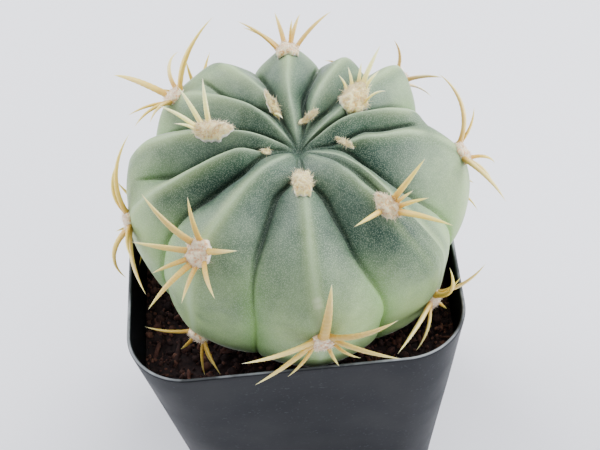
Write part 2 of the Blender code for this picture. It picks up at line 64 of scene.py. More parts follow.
# Potting mix
MIX_TOP = 70.0
MIX_BOTTOM = BASE_THICKNESS + GAP
FOOT_CLEARANCE = 0.45
MIX_COLUMNS = 240
MIX_ROWS = 46
HOLE_ROWS = 80
FUNNEL_ROWS = 13
MIX_HUMPS = 0.9
GRIT_COUNT = 3200
GRIT_SIZE = (0.45, 1.7)
SLIVER_SHARE = 0.22

# Stem: its envelope, and how it stands
STEM_CENTRE = (3.4, 0.0, 97.6)
LEAN_FRONT = 7.2
LEAN_RIGHT = 5.8
STEM_RADIUS = 44.3
CROWN_HEIGHT = 28.6
CROWN_POWER = 2.67
FOOT_DEPTH = 40.0
FOOT_POWER = 1.65
CROWN_DIMPLE = 6.0
DIMPLE_REACH = 9.0
ENVELOPE_STEPS = (300, 200)

# Where along a rib its azimuth is given: near the crown, on the shoulder and on the side
CROWN_ARC = 10.0
SHOULDER_ARC = 33.0
SIDE_ARC = 60.0

# Ribs, anticlockwise: name, crest azimuth at crown, shoulder and side, how far the crest
# stands out at the side, the arc where a young rib starts (0: it reaches the centre), and
# how far the rib bulges under the waist
RIBS = (
    ("front", 270, 272, 275, 0.8, 9, 2.9),
    ("right_front", 314, 315, 321, 0.3, 0, 2.8),
    ("right_front_twin", 327, 321, 326, 0.0, 0, 2.6),
    ("right", 355, 6, 2, 2.2, 9, 0.0),
    ("right_twin", 26, 20, 14, -6.5, 0, 0.0),
    ("right_back", 36, 46, 50, 3.6, 0, 0.0),
    ("back_right", 69, 66, 62, -2.3, 5, 0.0),
    ("back", 98, 92, 89, 0.4, 0, 0.0),
    ("back_left", 118, 121, 125, 0.6, 9, 0.0),
    ("left_back", 138, 144, 146, -0.4, 0, 0.0),
    ("left", 172, 171, 169, 1.3, 0, 0.8),
    ("left_twin", 192, 196, 190, 0.8, 8, 1.4),
    ("left_front", 226, 227, 229, 0.0, 0, 2.2),
)
RIB_COUNT = len(RIBS)

# Furrow after each rib: azimuth at crown, shoulder and side, depth at crown and side, and
# the arc past which it has run out between ribs that join (0: it runs all the way down)
FURROWS = (
    (288, 292, 299, 8.0, 3.4, 0),
    (321, 318, 323, 2.0, 0.0, 34),
    (339, 334, 338, 7.0, 3.6, 0),
    (12, 13, 8, 6.5, 0.0, 34),
    (31, 33, 30, 7.5, 5.5, 0),
    (53, 56, 56, 8.5, 5.0, 0),
    (82, 78, 76, 8.5, 4.6, 0),
    (108, 106, 107, 9.0, 7.5, 0),
    (129, 133, 137, 7.5, 0.0, 38),
    (158, 158, 160, 8.5, 6.0, 0),
    (183, 187, 180, 7.5, 0.0, 46),
    (208, 208, 212, 8.5, 3.0, 0),
    (247, 248, 252, 7.5, 3.2, 0),
)
FURROW_REACH = 13.0
FURROW_POWER = 1.3
# How much of the bulges beside it a furrow takes, where its ribs haven't joined
FURROW_BELLY = 0.3
CENTRE_CALM = 2.5
CREST_OPENS = (-3.0, 9.0)
FURROWS_OPEN = (-3.0, 10.0)
CLOSED_SHARE = 0.08
FURROW_RUNS_OUT = (-12.0, 4.0)
FURROW_LEVELS = (24.0, 56.0)
CREST_LIFTS = (30.0, 52.0)
RIB_FADE = (2.0, 23.0)
LIFT_FADE = 11.0
BELLY_SWELLS = (0.0, 14.0)
BELLY_ENDS = (16.0, 25.0)
EDGE_BLUNTNESS = (0.08, 0.14)
EDGE_ARCS = (25.0, 60.0)
FLANK_ROUNDNESS = (0.30, 0.42)
FLANK_ARCS = (30.0, 60.0)
FLANK_POWER = 2.2

# The skin's grid: columns on a rib, rows above and below the mix. Its low relief: wide
# swells, a crease along each furrow and a pit at the crown
SKIN_COLUMNS = 28
SKIN_CROWDING = 1.35
SKIN_ROWS = (222, 24)
SKIN_ARCS = (0.6, 98.0)
SWELL_SIZE = 9.0
SWELL_RISE = 0.22
RELIEF_SHOWS = (0.5, 2.5)
CREASE_DEPTH = (0.7, 0.35)
CREASE_ARCS = (20.0, 60.0)
CREASE_REACH = 0.45
PIT_DEPTH = 2.4
PIT_REACH = 2.2

# How far the skin's coloured marks reach: the painted highlights from a crest, and from a
# furrow its line, which is painted shade near the crown and green lower down. Then the arcs
# over which the green beside a furrow comes in
CREST_HIGHLIGHT_REACH = 0.6
WIDE_CREST_HIGHLIGHT_REACH = 1.8
FURROW_MARK = 0.5
NEAR_FURROW_MARK = 3.6
NEAR_FURROW_ARCS = (30.0, 56.0)
# The depth at which the painted shade in a furrow, a thinner bloom, is full
DEEP_FURROW = 8.0
SCAR_SHARE = 0.6

# A darker green band of painted shade along the right-hand side of a crest: how far off its
# middle lies and how far it reaches, and how much the skin must face to the right for it to show
PAINTED_SHADE_BAND = (2.0, 1.3)
PAINTED_SHADE_TURN = (0.02, 0.22)

# Marks on the skin as (ribs round, arc, size across, size along)
CORKY_SCARS = (
    (0.49, 45.3, 1.1, 0.9),
    (0.51, 46.7, 0.8, 0.9),
)

# Patches of painted light, where the share is above 0, and of painted shade, below 0,
# laid on the bloom as (ribs round, arc, size across, size along, share)
LIGHT_AND_SHADE_PATCHES = (
    (0.00, 0.0, 3.5, 3.5, -0.25),
    (0.75, 54.0, 10.0, 15.0, 0.27),
    (1.15, 66.0, 9.0, 10.0, 0.40),
    (1.36, 40.0, 9.0, 15.0, -0.30),
    (2.75, 50.0, 6.0, 12.0, 0.18),
    (2.80, 22.0, 6.0, 10.0, -0.20),
    (3.30, 18.0, 6.0, 8.0, -0.14),
    (3.25, 47.0, 9.0, 14.0, 0.36),
    (4.28, 14.0, 5.0, 7.0, -0.44),
    (5.20, 38.0, 12.0, 10.0, 0.28),
    (6.30, 32.0, 8.0, 7.0, -0.14),
    (6.15, 17.0, 4.0, 7.0, 0.32),
    (6.80, 18.0, 5.0, 7.0, -0.26),
    (8.95, 33.0, 8.0, 8.0, 0.42),
    (9.70, 13.0, 6.0, 7.0, -0.24),
    (9.75, 44.0, 9.0, 9.0, 0.36),
    (10.70, 20.0, 6.0, 7.0, 0.26),
    (11.68, 24.0, 9.0, 14.0, -0.44),
    (11.30, 62.0, 9.0, 12.0, 0.22),
    (11.82, 51.0, 8.0, 9.0, 0.48),
    (12.30, 32.0, 10.0, 16.0, 0.12),
)

# Areoles
AREOLE_ROUND = 1.2
AREOLE_REACH = 9.0
PAD_TOUCH = 0.75
PAD_DOME = 0.9
ROOT_OUT = 0.22
ROOT_DEPTH = 0.55
EDGE_ROOT_OUT = 0.40
EDGE_ROOT_DEPTH = 0.30
SPINE_WIDTH = 1.95
SPINE_DEPTH = 1.35
SPINE_FULLNESS = 2.5
SPINE_THINNEST = 0.30
SPINE_FULL_LENGTH = 30.0
STOUT_SPINES = {("front_lower", 0): 1.3, ("front_lower", 1): 1.1}
SPINE_ROWS = 40
SPINE_COLUMNS = 12
RING_SPACING = 0.85
RING_RISE = 0.05
ROOT_BULB = 0.35
ROOT_BULB_REACH = 1.0
OLD_SPINES = 6
OLD_LENGTH = (9.0, 14.0)
OLD_RISE = (15.0, 35.0)
OLD_BOW = (8.0, 24.0)
OLD_TURN = 20.0
OLD_STRAY = 12.0
SEED = 13

# Each areole: name, rib, arc from the crown's middle, pad width, length and height, its
# spines' colour (0 pale, 1 straw, 2 amber, 3 brown), and its spines as (bearing, rise,
# length, bow). A bearing turns clockwise, seen from outside, from the way up the rib. The
# rise is the mean angle off the rib, and the bow is how much steeper the root stands, and
# how much flatter the tip lies, than that. OLD marks a bunch that is drawn by the rule.
OLD = None
AREOLES = (
    ("front_wool", "front", 14, 6.4, 8.0, 1.6, 0, ()),
    ("right_wool", "right", 12, 4.4, 5.5, 1.2, 0, ()),
    ("back_right_wool", "back_right", 9, 3.4, 4.6, 1.2, 0, ()),
    ("back_left_wool", "back_left", 13, 3.6, 5.0, 1.2, 0, ((30, 55, 6, 5),)),
    ("left_wool", "left_twin", 9, 2.8, 3.4, 1.0, 0, ()),
    ("right_back_upper", "right_back", 20, 6.6, 8.6, 2.0, 0,
     ((174, 30, 13, 7), (126, 28, 6, 8), (155, 28, 7, 8), (196, 28, 7, 8), (95, 25, 5, 8),
      (255, 25, 7, 12))),
    ("left_upper", "left", 23, 5.4, 8.4, 1.8, 0,
     ((261, 30, 12, 8), (229, 30, 12, 5), (192, 30, 12, 10), (170, 26, 7, 12))),
    ("right_front_upper", "right_front", 30, 6.0, 6.8, 1.6, 2,
     ((79, 32, 14, 8), (100, 28, 6, 12), (123, 28, 9, 12), (155, 29, 16, 18),
      (282, 26, 11, 8))),
    ("back_upper", "back", 35, 5.0, 5.6, 1.5, 1,
     ((108, 28, 14, 7), (169, 28, 13, 5), (203, 28, 12, 8), (243, 27, 15, 6),
      (128, 14, 14, 10), (205, 60, 7, 4))),
    ("left_front_upper", "left_front", 41, 5.4, 6.4, 1.5, 1,
     ((299, 28, 19, 18), (342, 30, 15, 4), (255, 29, 15, 9), (57, 26, 16, 12),
      (217, 27, 11, 18), (187, 28, 17, 18), (156, 30, 12, 4), (111, 28, 14, 9))),
    ("left_back_upper", "left_back", 42, 4.8, 5.4, 1.4, 2,
     ((330, 16, 25, 16), (262, 14, 14, 42), (198, 26, 24, 19), (118, 30, 12, 8),
      (95, 18, 14, 16), (75, 12, 13, 16), (300, 16, 15, 12))),
    ("right_upper", "right", 47, 4.8, 5.6, 1.4, 2,
     ((43, 2, 22, 36), (55, 32, 11, 12), (178, 34, 9, 42), (274, 24, 24, 6),
      (268, 25, 15, 16))),
    ("left_lower", "left_twin", 57, 4.6, 5.4, 1.4, 2,
     ((300, -6, 16, 36), (322, -12, 24, 30), (166, 4, 22, 38), (82, 2, 23, 12),
      (66, 8, 15, 12))),
    ("front_lower", "front", 59, 5.2, 5.4, 1.5, 1,
     ((4, -3, 24, 8), (46, 14, 23, 12), (80, 27, 19, 4), (104, 26, 9, 15), (150, 26, 7, 10),
      (243, 27, 11, 8), (265, 25, 19, 3), (288, 17, 22, 6))),
    ("right_front_lower", "right_front", 68, 4.4, 4.8, 1.4, 2,
     ((47, 18, 16, 16), (28, 14, 10, 12), (0, 3, 18, 38), (150, 28, 5, 12),
      (281, 11, 21, 2), (252, 20, 14, 18))),
    ("left_front_lower", "left_front", 76, 4.4, 4.8, 1.4, 1,
     ((290, 22, 13, 6), (214, 38, 9, 12), (142, 44, 11, 8), (116, 28, 8, 8),
      (98, 24, 11, 2))),
    ("right_back_lower", "right_back", 55, 4.6, 5.2, 1.4, 3,
     ((35, 14, 11, 32), (150, 30, 20, 22), (300, 20, 12, 16), (230, 25, 11, 16))),
    ("right_twin_lower", "right_twin", 68, 4.6, 5.2, 1.4, 2, OLD),
    ("back_right_lower", "back_right", 56, 4.6, 5.2, 1.4, 3,
     ((118, 30, 19, 22), (210, 25, 12, 16), (300, 12, 12, 14), (170, 25, 12, 16))),
    ("back_lower", "back", 70, 4.4, 5.0, 1.4, 3, OLD),
    ("back_left_lower", "back_left", 62, 4.6, 5.2, 1.4, 2, OLD),
    ("left_back_lower", "left_back", 74, 4.4, 5.0, 1.4, 3, OLD),
    ("left_low", "left", 78, 4.4, 5.0, 1.4, 2, OLD),
)

# Felt: the grid of a pad, its lumps, and its fibres from the youngest to the oldest
FELT_RINGS = 12
FELT_SPOKES = 48
FELT_SINK = 0.2
FELT_LUMP_SIZE = 1.7
FELT_LUMP_RISE = (0.55, 0.28)
FELT_GROWTH = 1.22
YOUNG_ARCS = (12.0, 44.0)
FIBRE_COUNT = (1300, 650)
FIBRE_LENGTH = (1.7, 0.9)
FIBRE_RADIUS = 0.06
FIBRE_ROWS = 3
FULL_FELT = 24.0

# Young felt that is not an oval over its areole: width, length and height, its turn from
# the way up the rib, how far that end is drawn to a point, and how square its sides are
YOUNG_FELT = {
    "front_wool": (4.5, 10.2, 1.4, 0, 0.0, 0.9),
    "right_wool": (1.3, 5.6, 0.6, 45, 0.0, 0.0),
    "back_right_wool": (1.6, 5.4, 0.6, 40, 0.2, 0.0),
    "back_left_wool": (2.1, 5.8, 0.8, 178, 0.6, 0.0),
    "left_wool": (1.3, 2.2, 0.4, 0, 0.0, 0.0),
    "right_back_upper": (6.0, 8.4, 1.9, 0, 0.35, 0.3),
    "left_upper": (5.0, 8.2, 1.6, 0, 0.45, 0.2),
    "right_front_upper": (5.2, 6.8, 1.5, 0, 0.30, 0.0),
}

# Camera: azimuth, elevation and roll, its distance from the middle of the pot's rim, the
# focal length in pixels, and the pixel at which it shows that middle
IMAGE_WIDTH = 600
IMAGE_HEIGHT = 450
CAMERA_AZIMUTH = 2.0
CAMERA_ELEVATION = 48.0
CAMERA_ROLL = -7.3
CAMERA_DISTANCE = 376.8
FOCAL_PIXELS = 1356.8
RIM_MIDDLE_PIXEL = (289.5, 239.1)
SENSOR_WIDTH = 36.0

# Soft lights: name, place and size in metres, and power in watts. All face one point.
LIGHTS = (
    ("window_above", (0.05, 0.0, 1.0), 0.9, 4.6),
    ("window_right", (0.9, 0.1, 0.35), 0.6, 10.4),
    ("window_left", (-0.9, 0.1, 0.35), 0.6, 6.5),
    ("window_front", (0.65, -0.6, 0.5), 0.6, 5.0),
    ("window_back_left", (-0.6, 0.6, 0.7), 0.6, 11.5),
    ("window_back_right", (0.6, 0.6, 0.7), 0.6, 11.5),
)
LIGHT_TARGET = (0.0, 0.0, 0.1)


def linear(hex_colour):
    """The linear colour, with alpha 1, of an sRGB hex value."""
    value = np.array([int(hex_colour[place:place + 2], 16) for place in (1, 3, 5)]) / 255.0
    low, high = value / 12.92, ((value + 0.055) / 1.055) ** 2.4
    return (*np.where(value <= 0.04045, low, high).tolist(), 1.0)


def add_node(tree, kind, inputs=None, **settings):
    """Add a node. An input that is a socket is linked, and any other is set."""
    node = tree.nodes.new(kind)
    for name, value in settings.items():
        setattr(node, name, value)
    for name, value in (inputs or {}).items():
        if isinstance(value, bpy.types.NodeSocket):
            tree.links.new(value, node.inputs[name])
        else:
            node.inputs[name].default_value = value
    return node


def new_material(name):
    """A new material, with its node tree and its shader."""
    material = bpy.data.materials.new(name)
    material.use_nodes = True
    return material, material.node_tree, material.node_tree.nodes["Principled BSDF"]


# Shapes

def smooth_step(value, low, high):
    """0 below low, 1 above high, and an S-shaped rise between them."""
    part = np.clip((value - low) / (high - low), 0.0, 1.0)
    return part * part * (3.0 - 2.0 * part)


def turn_between(start, end):
    """The shortest way round from one azimuth to another."""
    return (end - start + 180.0) % 360.0 - 180.0


def ripple(points, size, seed, waves=11):
    """A smooth uneven value about 0 at each point.

    It is the mean of plane sine waves with drawn directions and phases, whose lengths lie
    round size, scaled so that it mostly stays between -1 and 1.
    """
    draw = np.random.default_rng(seed)
    way = draw.normal(size=(waves, 3))
    way = way / np.linalg.norm(way, axis=1, keepdims=True)
    length = size * draw.uniform(0.7, 1.6, waves)
    phase = draw.uniform(0.0, 2.0 * math.pi, waves)
    angle = points @ (way * (2.0 * math.pi / length)[:, None]).T + phase
    return np.sin(angle).mean(axis=-1) * 2.2


def ring_quads(corner):
    """Quads between neighbouring rows of corners, with each row closed on itself."""
    lower, upper = corner[:-1], corner[1:]
    quads = np.stack((lower, np.roll(lower, -1, 1), np.roll(upper, -1, 1), upper), axis=-1)
    return quads.reshape(-1, 4)


def fan(ring, point):
    """Triangles from a ring's corners, in their order, to one point."""
    return np.stack((ring, np.roll(ring, -1), np.full(len(ring), point)), axis=-1)


def closed_loft(rings, **marks):
    """A closed surface through rings, given as rows by columns of points.

    Neighbouring rows are joined by quads, each row is closed on itself, and each end is
    closed by a fan to its ring's mean. A mark is a value for each of the ring's points.
    """
    rows, columns = rings.shape[:2]
    ends = np.stack((rings[0].mean(axis=0), rings[-1].mean(axis=0)))
    corner = np.arange(rows * columns).reshape(rows, columns)
    faces = [ring_quads(corner), fan(corner[0, ::-1], corner.size),
             fan(corner[-1], corner.size + 1)]
    values = {name: np.append(mark.ravel(), (mark[0].mean(), mark[-1].mean()))
              for name, mark in marks.items()}
    points = np.concatenate((rings.reshape(-1, 3), ends))
    return facing_out({"points": points, "faces": faces, "marks": values})


def facing_out(shape):
    """Turn all faces over where they enclose less than nothing."""
    points, volume = shape["points"], 0.0
    for block in shape["faces"]:
        for third in range(2, block.shape[1]):
            a, b, c = points[block[:, 0]], points[block[:, third - 1]], points[block[:, third]]
            volume += np.einsum("ij,ij->", a, np.cross(b, c))
    if volume < 0.0:
        shape["faces"] = [block[:, ::-1] for block in shape["faces"]]
    return shape


def joined(shapes):
    """One shape from several with the same marks."""
    starts = np.cumsum([0] + [len(shape["points"]) for shape in shapes])
    faces = [block + start for shape, start in zip(shapes, starts) for block in shape["faces"]]
    marks = {name: np.concatenate([shape["marks"][name] for shape in shapes])
             for name in shapes[0]["marks"]}
    return {"points": np.concatenate([shape["points"] for shape in shapes]), "faces": faces,
            "marks": marks}


def repeated(points, faces, **marks):
    """One shape from copies with the same faces: points as copies by corners by 3."""
    copies, corners = points.shape[:2]
    start = corners * np.arange(copies)[:, None, None]
    blocks = [(block[None, :, :] + start).reshape(-1, block.shape[1]) for block in faces]
    return facing_out({"points": points.reshape(-1, 3), "faces": blocks,
                       "marks": {name: mark.ravel() for name, mark in marks.items()}})


def make_piece(name, shape, material, slot, *nodes):
    """A piece of the plant or its pot, which stands for the solids in nodes."""
    mesh = bpy.data.meshes.new(name)
    faces = [face for block in shape["faces"] for face in block.tolist()]
    mesh.from_pydata(shape["points"] * MM, [], faces)
    for mark, values in shape["marks"].items():
        layer = mesh.attributes.new(mark, "FLOAT", "POINT")
        layer.data.foreach_set("value", values.astype(np.float32))
    mesh.shade_smooth()
    mesh.materials.append(material)
    piece = bpy.data.objects.new(name, mesh)
    bpy.context.scene.collection.objects.link(piece)
    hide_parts(*nodes)
    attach(piece, "root")
    return piece


# Stem

STEM_TURN = np.array(Euler((math.radians(LEAN_FRONT), math.radians(LEAN_RIGHT), 0.0)).to_matrix())


def standing(points):
    """Points of the upright stem, leant and moved to where the plant stands."""
    return points @ STEM_TURN.T + np.array(STEM_CENTRE)


def envelope_table():
    """Radius and height along the envelope, from the top down, with the arc to each."""
    upper = np.radians(np.linspace(90.0, 0.0, ENVELOPE_STEPS[0]))
    lower = np.radians(np.linspace(0.0, -90.0, ENVELOPE_STEPS[1]))[1:]
    power = 2.0 / CROWN_POWER
    cosine = np.clip(np.cos(upper), 0.0, 1.0)
    radius = np.concatenate((STEM_RADIUS * cosine ** power, STEM_RADIUS * np.cos(lower)))
    depth = FOOT_DEPTH * np.abs(np.sin(lower)) ** (2.0 / FOOT_POWER)
    height = np.concatenate((CROWN_HEIGHT * np.sin(upper) ** power, -depth))
    steps = np.hypot(np.diff(radius), np.diff(height))
    arc = np.concatenate(([0.0], np.cumsum(steps)))
    return arc, radius, height


ARC, ARC_RADIUS, ARC_HEIGHT = envelope_table()
WAIST_ARC = ARC[ENVELOPE_STEPS[0] - 1]
END_ARC = ARC[-1]


def envelope(arc):
    """Radius, height and the outward direction's two parts at an arc from the top."""
    radius = np.interp(arc, ARC, ARC_RADIUS)
    height = np.interp(arc, ARC, ARC_HEIGHT)
    step = 1.2
    along = np.interp(arc + step, ARC, ARC_RADIUS) - np.interp(arc - step, ARC, ARC_RADIUS)
    down = np.interp(arc + step, ARC, ARC_HEIGHT) - np.interp(arc - step, ARC, ARC_HEIGHT)
    length = np.hypot(along, down)
    return radius, height, -down / length, along / length


def bent_azimuth(crown, shoulder, side, arc):
    """An azimuth that turns smoothly from crown to shoulder, and from there to the side."""
    first = turn_between(crown, shoulder) * smooth_step(arc, CROWN_ARC, SHOULDER_ARC)
    second = turn_between(shoulder, side) * smooth_step(arc, SHOULDER_ARC, SIDE_ARC)
    return crown + first + second


def side_share(arc):
    """1 on the upper stem and 0 on the foot, where the ribs have run out."""
    return 1.0 - smooth_step(arc, WAIST_ARC + RIB_FADE[0], WAIST_ARC + RIB_FADE[1])


def crest_azimuth(rib, arc):
    """Where a rib's crest stands at an arc."""
    return bent_azimuth(*RIBS[rib][1:4], arc)


def crest_lift(rib, arc):
    """How far a crest stands out past the envelope: fully at the side, not at all on the foot."""
    rise = smooth_step(arc, *CREST_LIFTS)
    return RIBS[rib][4] * rise * (1.0 - smooth_step(arc, WAIST_ARC, WAIST_ARC + LIFT_FADE))


def belly(rib, arc):
    """How far a rib bulges out under the waist, before it ends."""
    below = arc - WAIST_ARC
    ends = smooth_step(below, *BELLY_ENDS)
    return RIBS[rib][6] * smooth_step(below, *BELLY_SWELLS) * (1.0 - ends)


def furrow_azimuth(rib, arc):
    """The furrow after a rib; beside a rib that is still starting it hugs its crest."""
    azimuth = bent_azimuth(*FURROWS[rib][:3], arc)
    for neighbour in (rib, (rib + 1) % RIB_COUNT):
        start = RIBS[neighbour][5]
        if start:
            opened = smooth_step(arc - start, *FURROWS_OPEN)
            opened = CLOSED_SHARE + (1.0 - CLOSED_SHARE) * opened
            crest = crest_azimuth(neighbour, arc)
            azimuth = crest + turn_between(crest, azimuth) * opened
    return azimuth


def furrow_depth(rib, arc):
    """How deep the furrow after a rib is, from nothing at the middle to its depth at the side."""
    crown, side, end = FURROWS[rib][3:]
    if end:
        share = smooth_step(arc - end, *FURROW_RUNS_OUT)
    else:
        share = smooth_step(arc, *FURROW_LEVELS)
    depth = crown + (side - crown) * share
    return depth * (1.0 - np.exp(-(arc / FURROW_REACH) ** FURROW_POWER)) * side_share(arc)


def furrow_floor(rib, arc):
    """How far the furrow after a rib lies below the envelope."""
    after = (rib + 1) % RIB_COUNT
    lift = crest_lift(rib, arc) + crest_lift(after, arc)
    share = 1.0 if FURROWS[rib][5] else FURROW_BELLY
    swollen = share * (belly(rib, arc) + belly(after, arc))
    return furrow_depth(rib, arc) - 0.5 * (lift + swollen)


def crest_drop(rib, arc):
    """How far a crest lies below the envelope; a starting rib rises from its furrows."""
    drop = -crest_lift(rib, arc) - belly(rib, arc)
    start = RIBS[rib][5]
    if start:
        depth = 0.5 * (furrow_depth(rib, arc) + furrow_depth(rib - 1, arc))
        drop = drop + depth * (1.0 - smooth_step(arc - start, *CREST_OPENS))
    return drop


def rib_section(across, arc):
    """0 on the crest and 1 in the furrow: a blunt ridge blended with a round swelling."""
    blunt = EDGE_BLUNTNESS[0] + np.diff(EDGE_BLUNTNESS) * smooth_step(arc, *EDGE_ARCS)
    ridge = (np.hypot(across, blunt) - blunt) / (np.hypot(1.0, blunt) - blunt)
    swelling = 1.0 - np.sqrt(np.clip(1.0 - across ** FLANK_POWER, 0.0, 1.0))
    roundness = FLANK_ROUNDNESS[0] + np.diff(FLANK_ROUNDNESS) * smooth_step(arc, *FLANK_ARCS)
    return (1.0 - roundness) * ridge + roundness * swelling


def stem_surface(around, arc, details=False):
    """Points of the upright stem, with their rib's half width, their depth and its relief.

    around counts ribs, with its fraction the share of the way across a rib from one
    furrow to the next. The point starts on the envelope at that arc, at an azimuth
    between the rib's crest and its furrow, and sinks along the envelope's inward
    direction by the rib's section times the furrow's depth.
    """
    around, arc = np.broadcast_arrays(np.asarray(around, float), np.asarray(arc, float))
    around = around % RIB_COUNT
    rib_number = np.floor(around).astype(int)
    azimuth, sunk, half, relief = (np.zeros(around.shape) for _ in range(4))
    for rib in range(RIB_COUNT):
        here = rib_number == rib
        if not here.any():
            continue
        place = arc[here]
        across = (around[here] - rib) * 2.0 - 1.0
        before = (rib - 1) % RIB_COUNT
        crest = crest_azimuth(rib, place)
        to_after = turn_between(crest, furrow_azimuth(rib, place))
        to_before = turn_between(furrow_azimuth(before, place), crest)
        half[here] = np.where(across >= 0.0, to_after, to_before)
        azimuth[here] = crest + across * half[here]
        section = rib_section(np.abs(across), place)
        bottom = np.where(across >= 0.0, furrow_floor(rib, place), furrow_floor(before, place))
        top = crest_drop(rib, place)
        relief[here] = bottom - top
        sunk[here] = top * (1.0 - section) + bottom * section
    radius, height, out, up = envelope(arc)
    sunk = sunk * smooth_step(arc, 0.0, CENTRE_CALM)
    dimple = CROWN_DIMPLE * np.exp(-(arc / DIMPLE_REACH) ** 2)
    turn = np.radians(azimuth)
    away = radius - sunk * out
    level = height - sunk * up - dimple
    points = np.stack((away * np.cos(turn), away * np.sin(turn), level), axis=-1)
    if details:
        return points, np.radians(half) * away, sunk, relief
    return points


def grid_normals(points):
    """Unit normals of a grid whose columns are closed on themselves."""
    along = np.gradient(points, axis=0)
    across = np.roll(points, -1, axis=1) - np.roll(points, 1, axis=1)
    normal = np.cross(across, along)
    return normal / np.maximum(np.linalg.norm(normal, axis=-1, keepdims=True), 1e-9)


def bell(distance, reach):
    """1 at no distance, falling off as a bell curve."""
    return np.exp(-(distance / reach) ** 2)


def skin_shape():
    """The whole stem as one grid of ribs round by arc down, with marks for its colours."""
    step = np.linspace(-1.0, 1.0, SKIN_COLUMNS, endpoint=False)
    across = np.sign(step) * (1.0 - (1.0 - np.abs(step)) ** SKIN_CROWDING)
    around = (np.arange(RIB_COUNT)[:, None] + (across[None, :] + 1.0) / 2.0).ravel()
    arc = np.concatenate((np.linspace(SKIN_ARCS[0], SKIN_ARCS[1], SKIN_ROWS[0]),
                          np.linspace(SKIN_ARCS[1], END_ARC - 1.0, SKIN_ROWS[1] + 1)[1:]))
    points, half, sunk, relief = stem_surface(around[None, :], arc[:, None], details=True)
    side = np.abs(np.tile(across, RIB_COUNT))[None, :]
    down = np.broadcast_to(arc[:, None], half.shape)
    outward = grid_normals(points)
    outward = outward * np.sign(outward[SKIN_ROWS[0] // 2, 0] @ points[SKIN_ROWS[0] // 2, 0])
    to_crest, to_furrow = side * half, (1.0 - side) * half
    raised = smooth_step(relief, *RELIEF_SHOWS)
    # How much the skin faces to the right, where the painted shade beside a crest shows.
    turned = smooth_step(outward[..., 0], *PAINTED_SHADE_TURN)
    crease = CREASE_DEPTH[0] + (CREASE_DEPTH[1] - CREASE_DEPTH[0]) * smooth_step(down, *CREASE_ARCS)
    crease = crease * bell(to_furrow, CREASE_REACH) * raised
    swell = SWELL_RISE * ripple(points, SWELL_SIZE, 3) * smooth_step(down, 6.0, 20.0)
    points = points + (swell * side_share(down) - crease)[..., None] * outward
    points[..., 2] -= PIT_DEPTH * bell(down, PIT_REACH)
    scar = np.zeros(half.shape)
    for place, at, width, length in CORKY_SCARS:
        beside = (around[None, :] - place) * half * 2.0
        scar = np.maximum(scar, bell(np.hypot(beside / width, (down - at) / length), 1.0))
    # Painted light and shade, laid in patches on the bloom.
    patch = np.zeros(half.shape)
    for place, at, width, length, share in LIGHT_AND_SHADE_PATCHES:
        beside = turn_between(place * 360.0 / RIB_COUNT, around[None, :] * 360.0 / RIB_COUNT)
        beside = np.radians(beside) * np.interp(down, ARC, ARC_RADIUS)
        patch = patch + share * bell(np.hypot(beside / width, (down - at) / length), 1.0)
    return closed_loft(
        standing(points),
        patch=patch,
        # The crest marks are painted highlights, the band to the right of a crest is painted shade,
        # and the furrow line is painted shade near the crown.
        crest=bell(to_crest, CREST_HIGHLIGHT_REACH) * raised,
        near_crest=bell(to_crest, WIDE_CREST_HIGHLIGHT_REACH) * raised,
        lee=bell(to_crest - PAINTED_SHADE_BAND[0], PAINTED_SHADE_BAND[1]) * turned * raised,
        furrow=bell(to_furrow, FURROW_MARK) * raised,
        near_furrow=(bell(to_furrow, NEAR_FURROW_MARK) * raised
                     * smooth_step(down, *NEAR_FURROW_ARCS)),
        depth=np.clip(sunk / DEEP_FURROW, 0.0, 1.0),
        down=down / 100.0,
        scar=SCAR_SHARE * smooth_step(scar, 0.1, 0.8))


# Areoles

def areole_frame(rib, arc):
    """The point on a rib's crest, and the ways up the rib, to its right and outward."""
    middle = rib + 0.5
    place = stem_surface(middle, arc)
    up = stem_surface(middle, arc - 1.5) - stem_surface(middle, arc + 1.5)
    up = up / np.linalg.norm(up)
    along = stem_surface(middle + 0.12, arc) - stem_surface(middle - 0.12, arc)
    outward = np.cross(along, up)
    outward = outward / np.linalg.norm(outward)
    return place, up, np.cross(up, outward), outward


def skin_height(flat, axes, rib, arc):
    """The highest that the stem reaches near each point of an areole, above its frame."""
    place, up, right, outward = axes
    around = rib + 0.5 + np.linspace(-AREOLE_ROUND, AREOLE_ROUND, 97)
    arcs = np.linspace(max(arc - AREOLE_REACH, 0.5), arc + AREOLE_REACH, 73)
    stem = stem_surface(around[None, :], arcs[:, None]).reshape(-1, 3) - place
    spot = np.column_stack((stem @ right, stem @ up))
    distance = np.linalg.norm(spot[None, :, :] - flat[:, None, :], axis=-1)
    return np.where(distance < PAD_TOUCH, (stem @ outward)[None, :], -np.inf).max(axis=1)


def pad_outline(turn, felt):
    """The pad's edge at each turn from its long way: between an oval and a rectangle."""
    width, length, _, aslant, point, square = felt
    across, along = np.sin(turn), np.cos(turn)
    power = 2.0 + 2.5 * square
    grown = (np.abs(across) ** power + np.abs(along) ** power) ** (-1.0 / power)
    across = across * grown * width / 2.0
    along = along * grown * length / 2.0 * (1.0 + point * np.clip(along, 0.0, 1.0) ** 6)
    lean = math.radians(aslant)
    return np.stack((across * math.cos(lean) + along * math.sin(lean),
                     along * math.cos(lean) - across * math.sin(lean)), axis=-1)


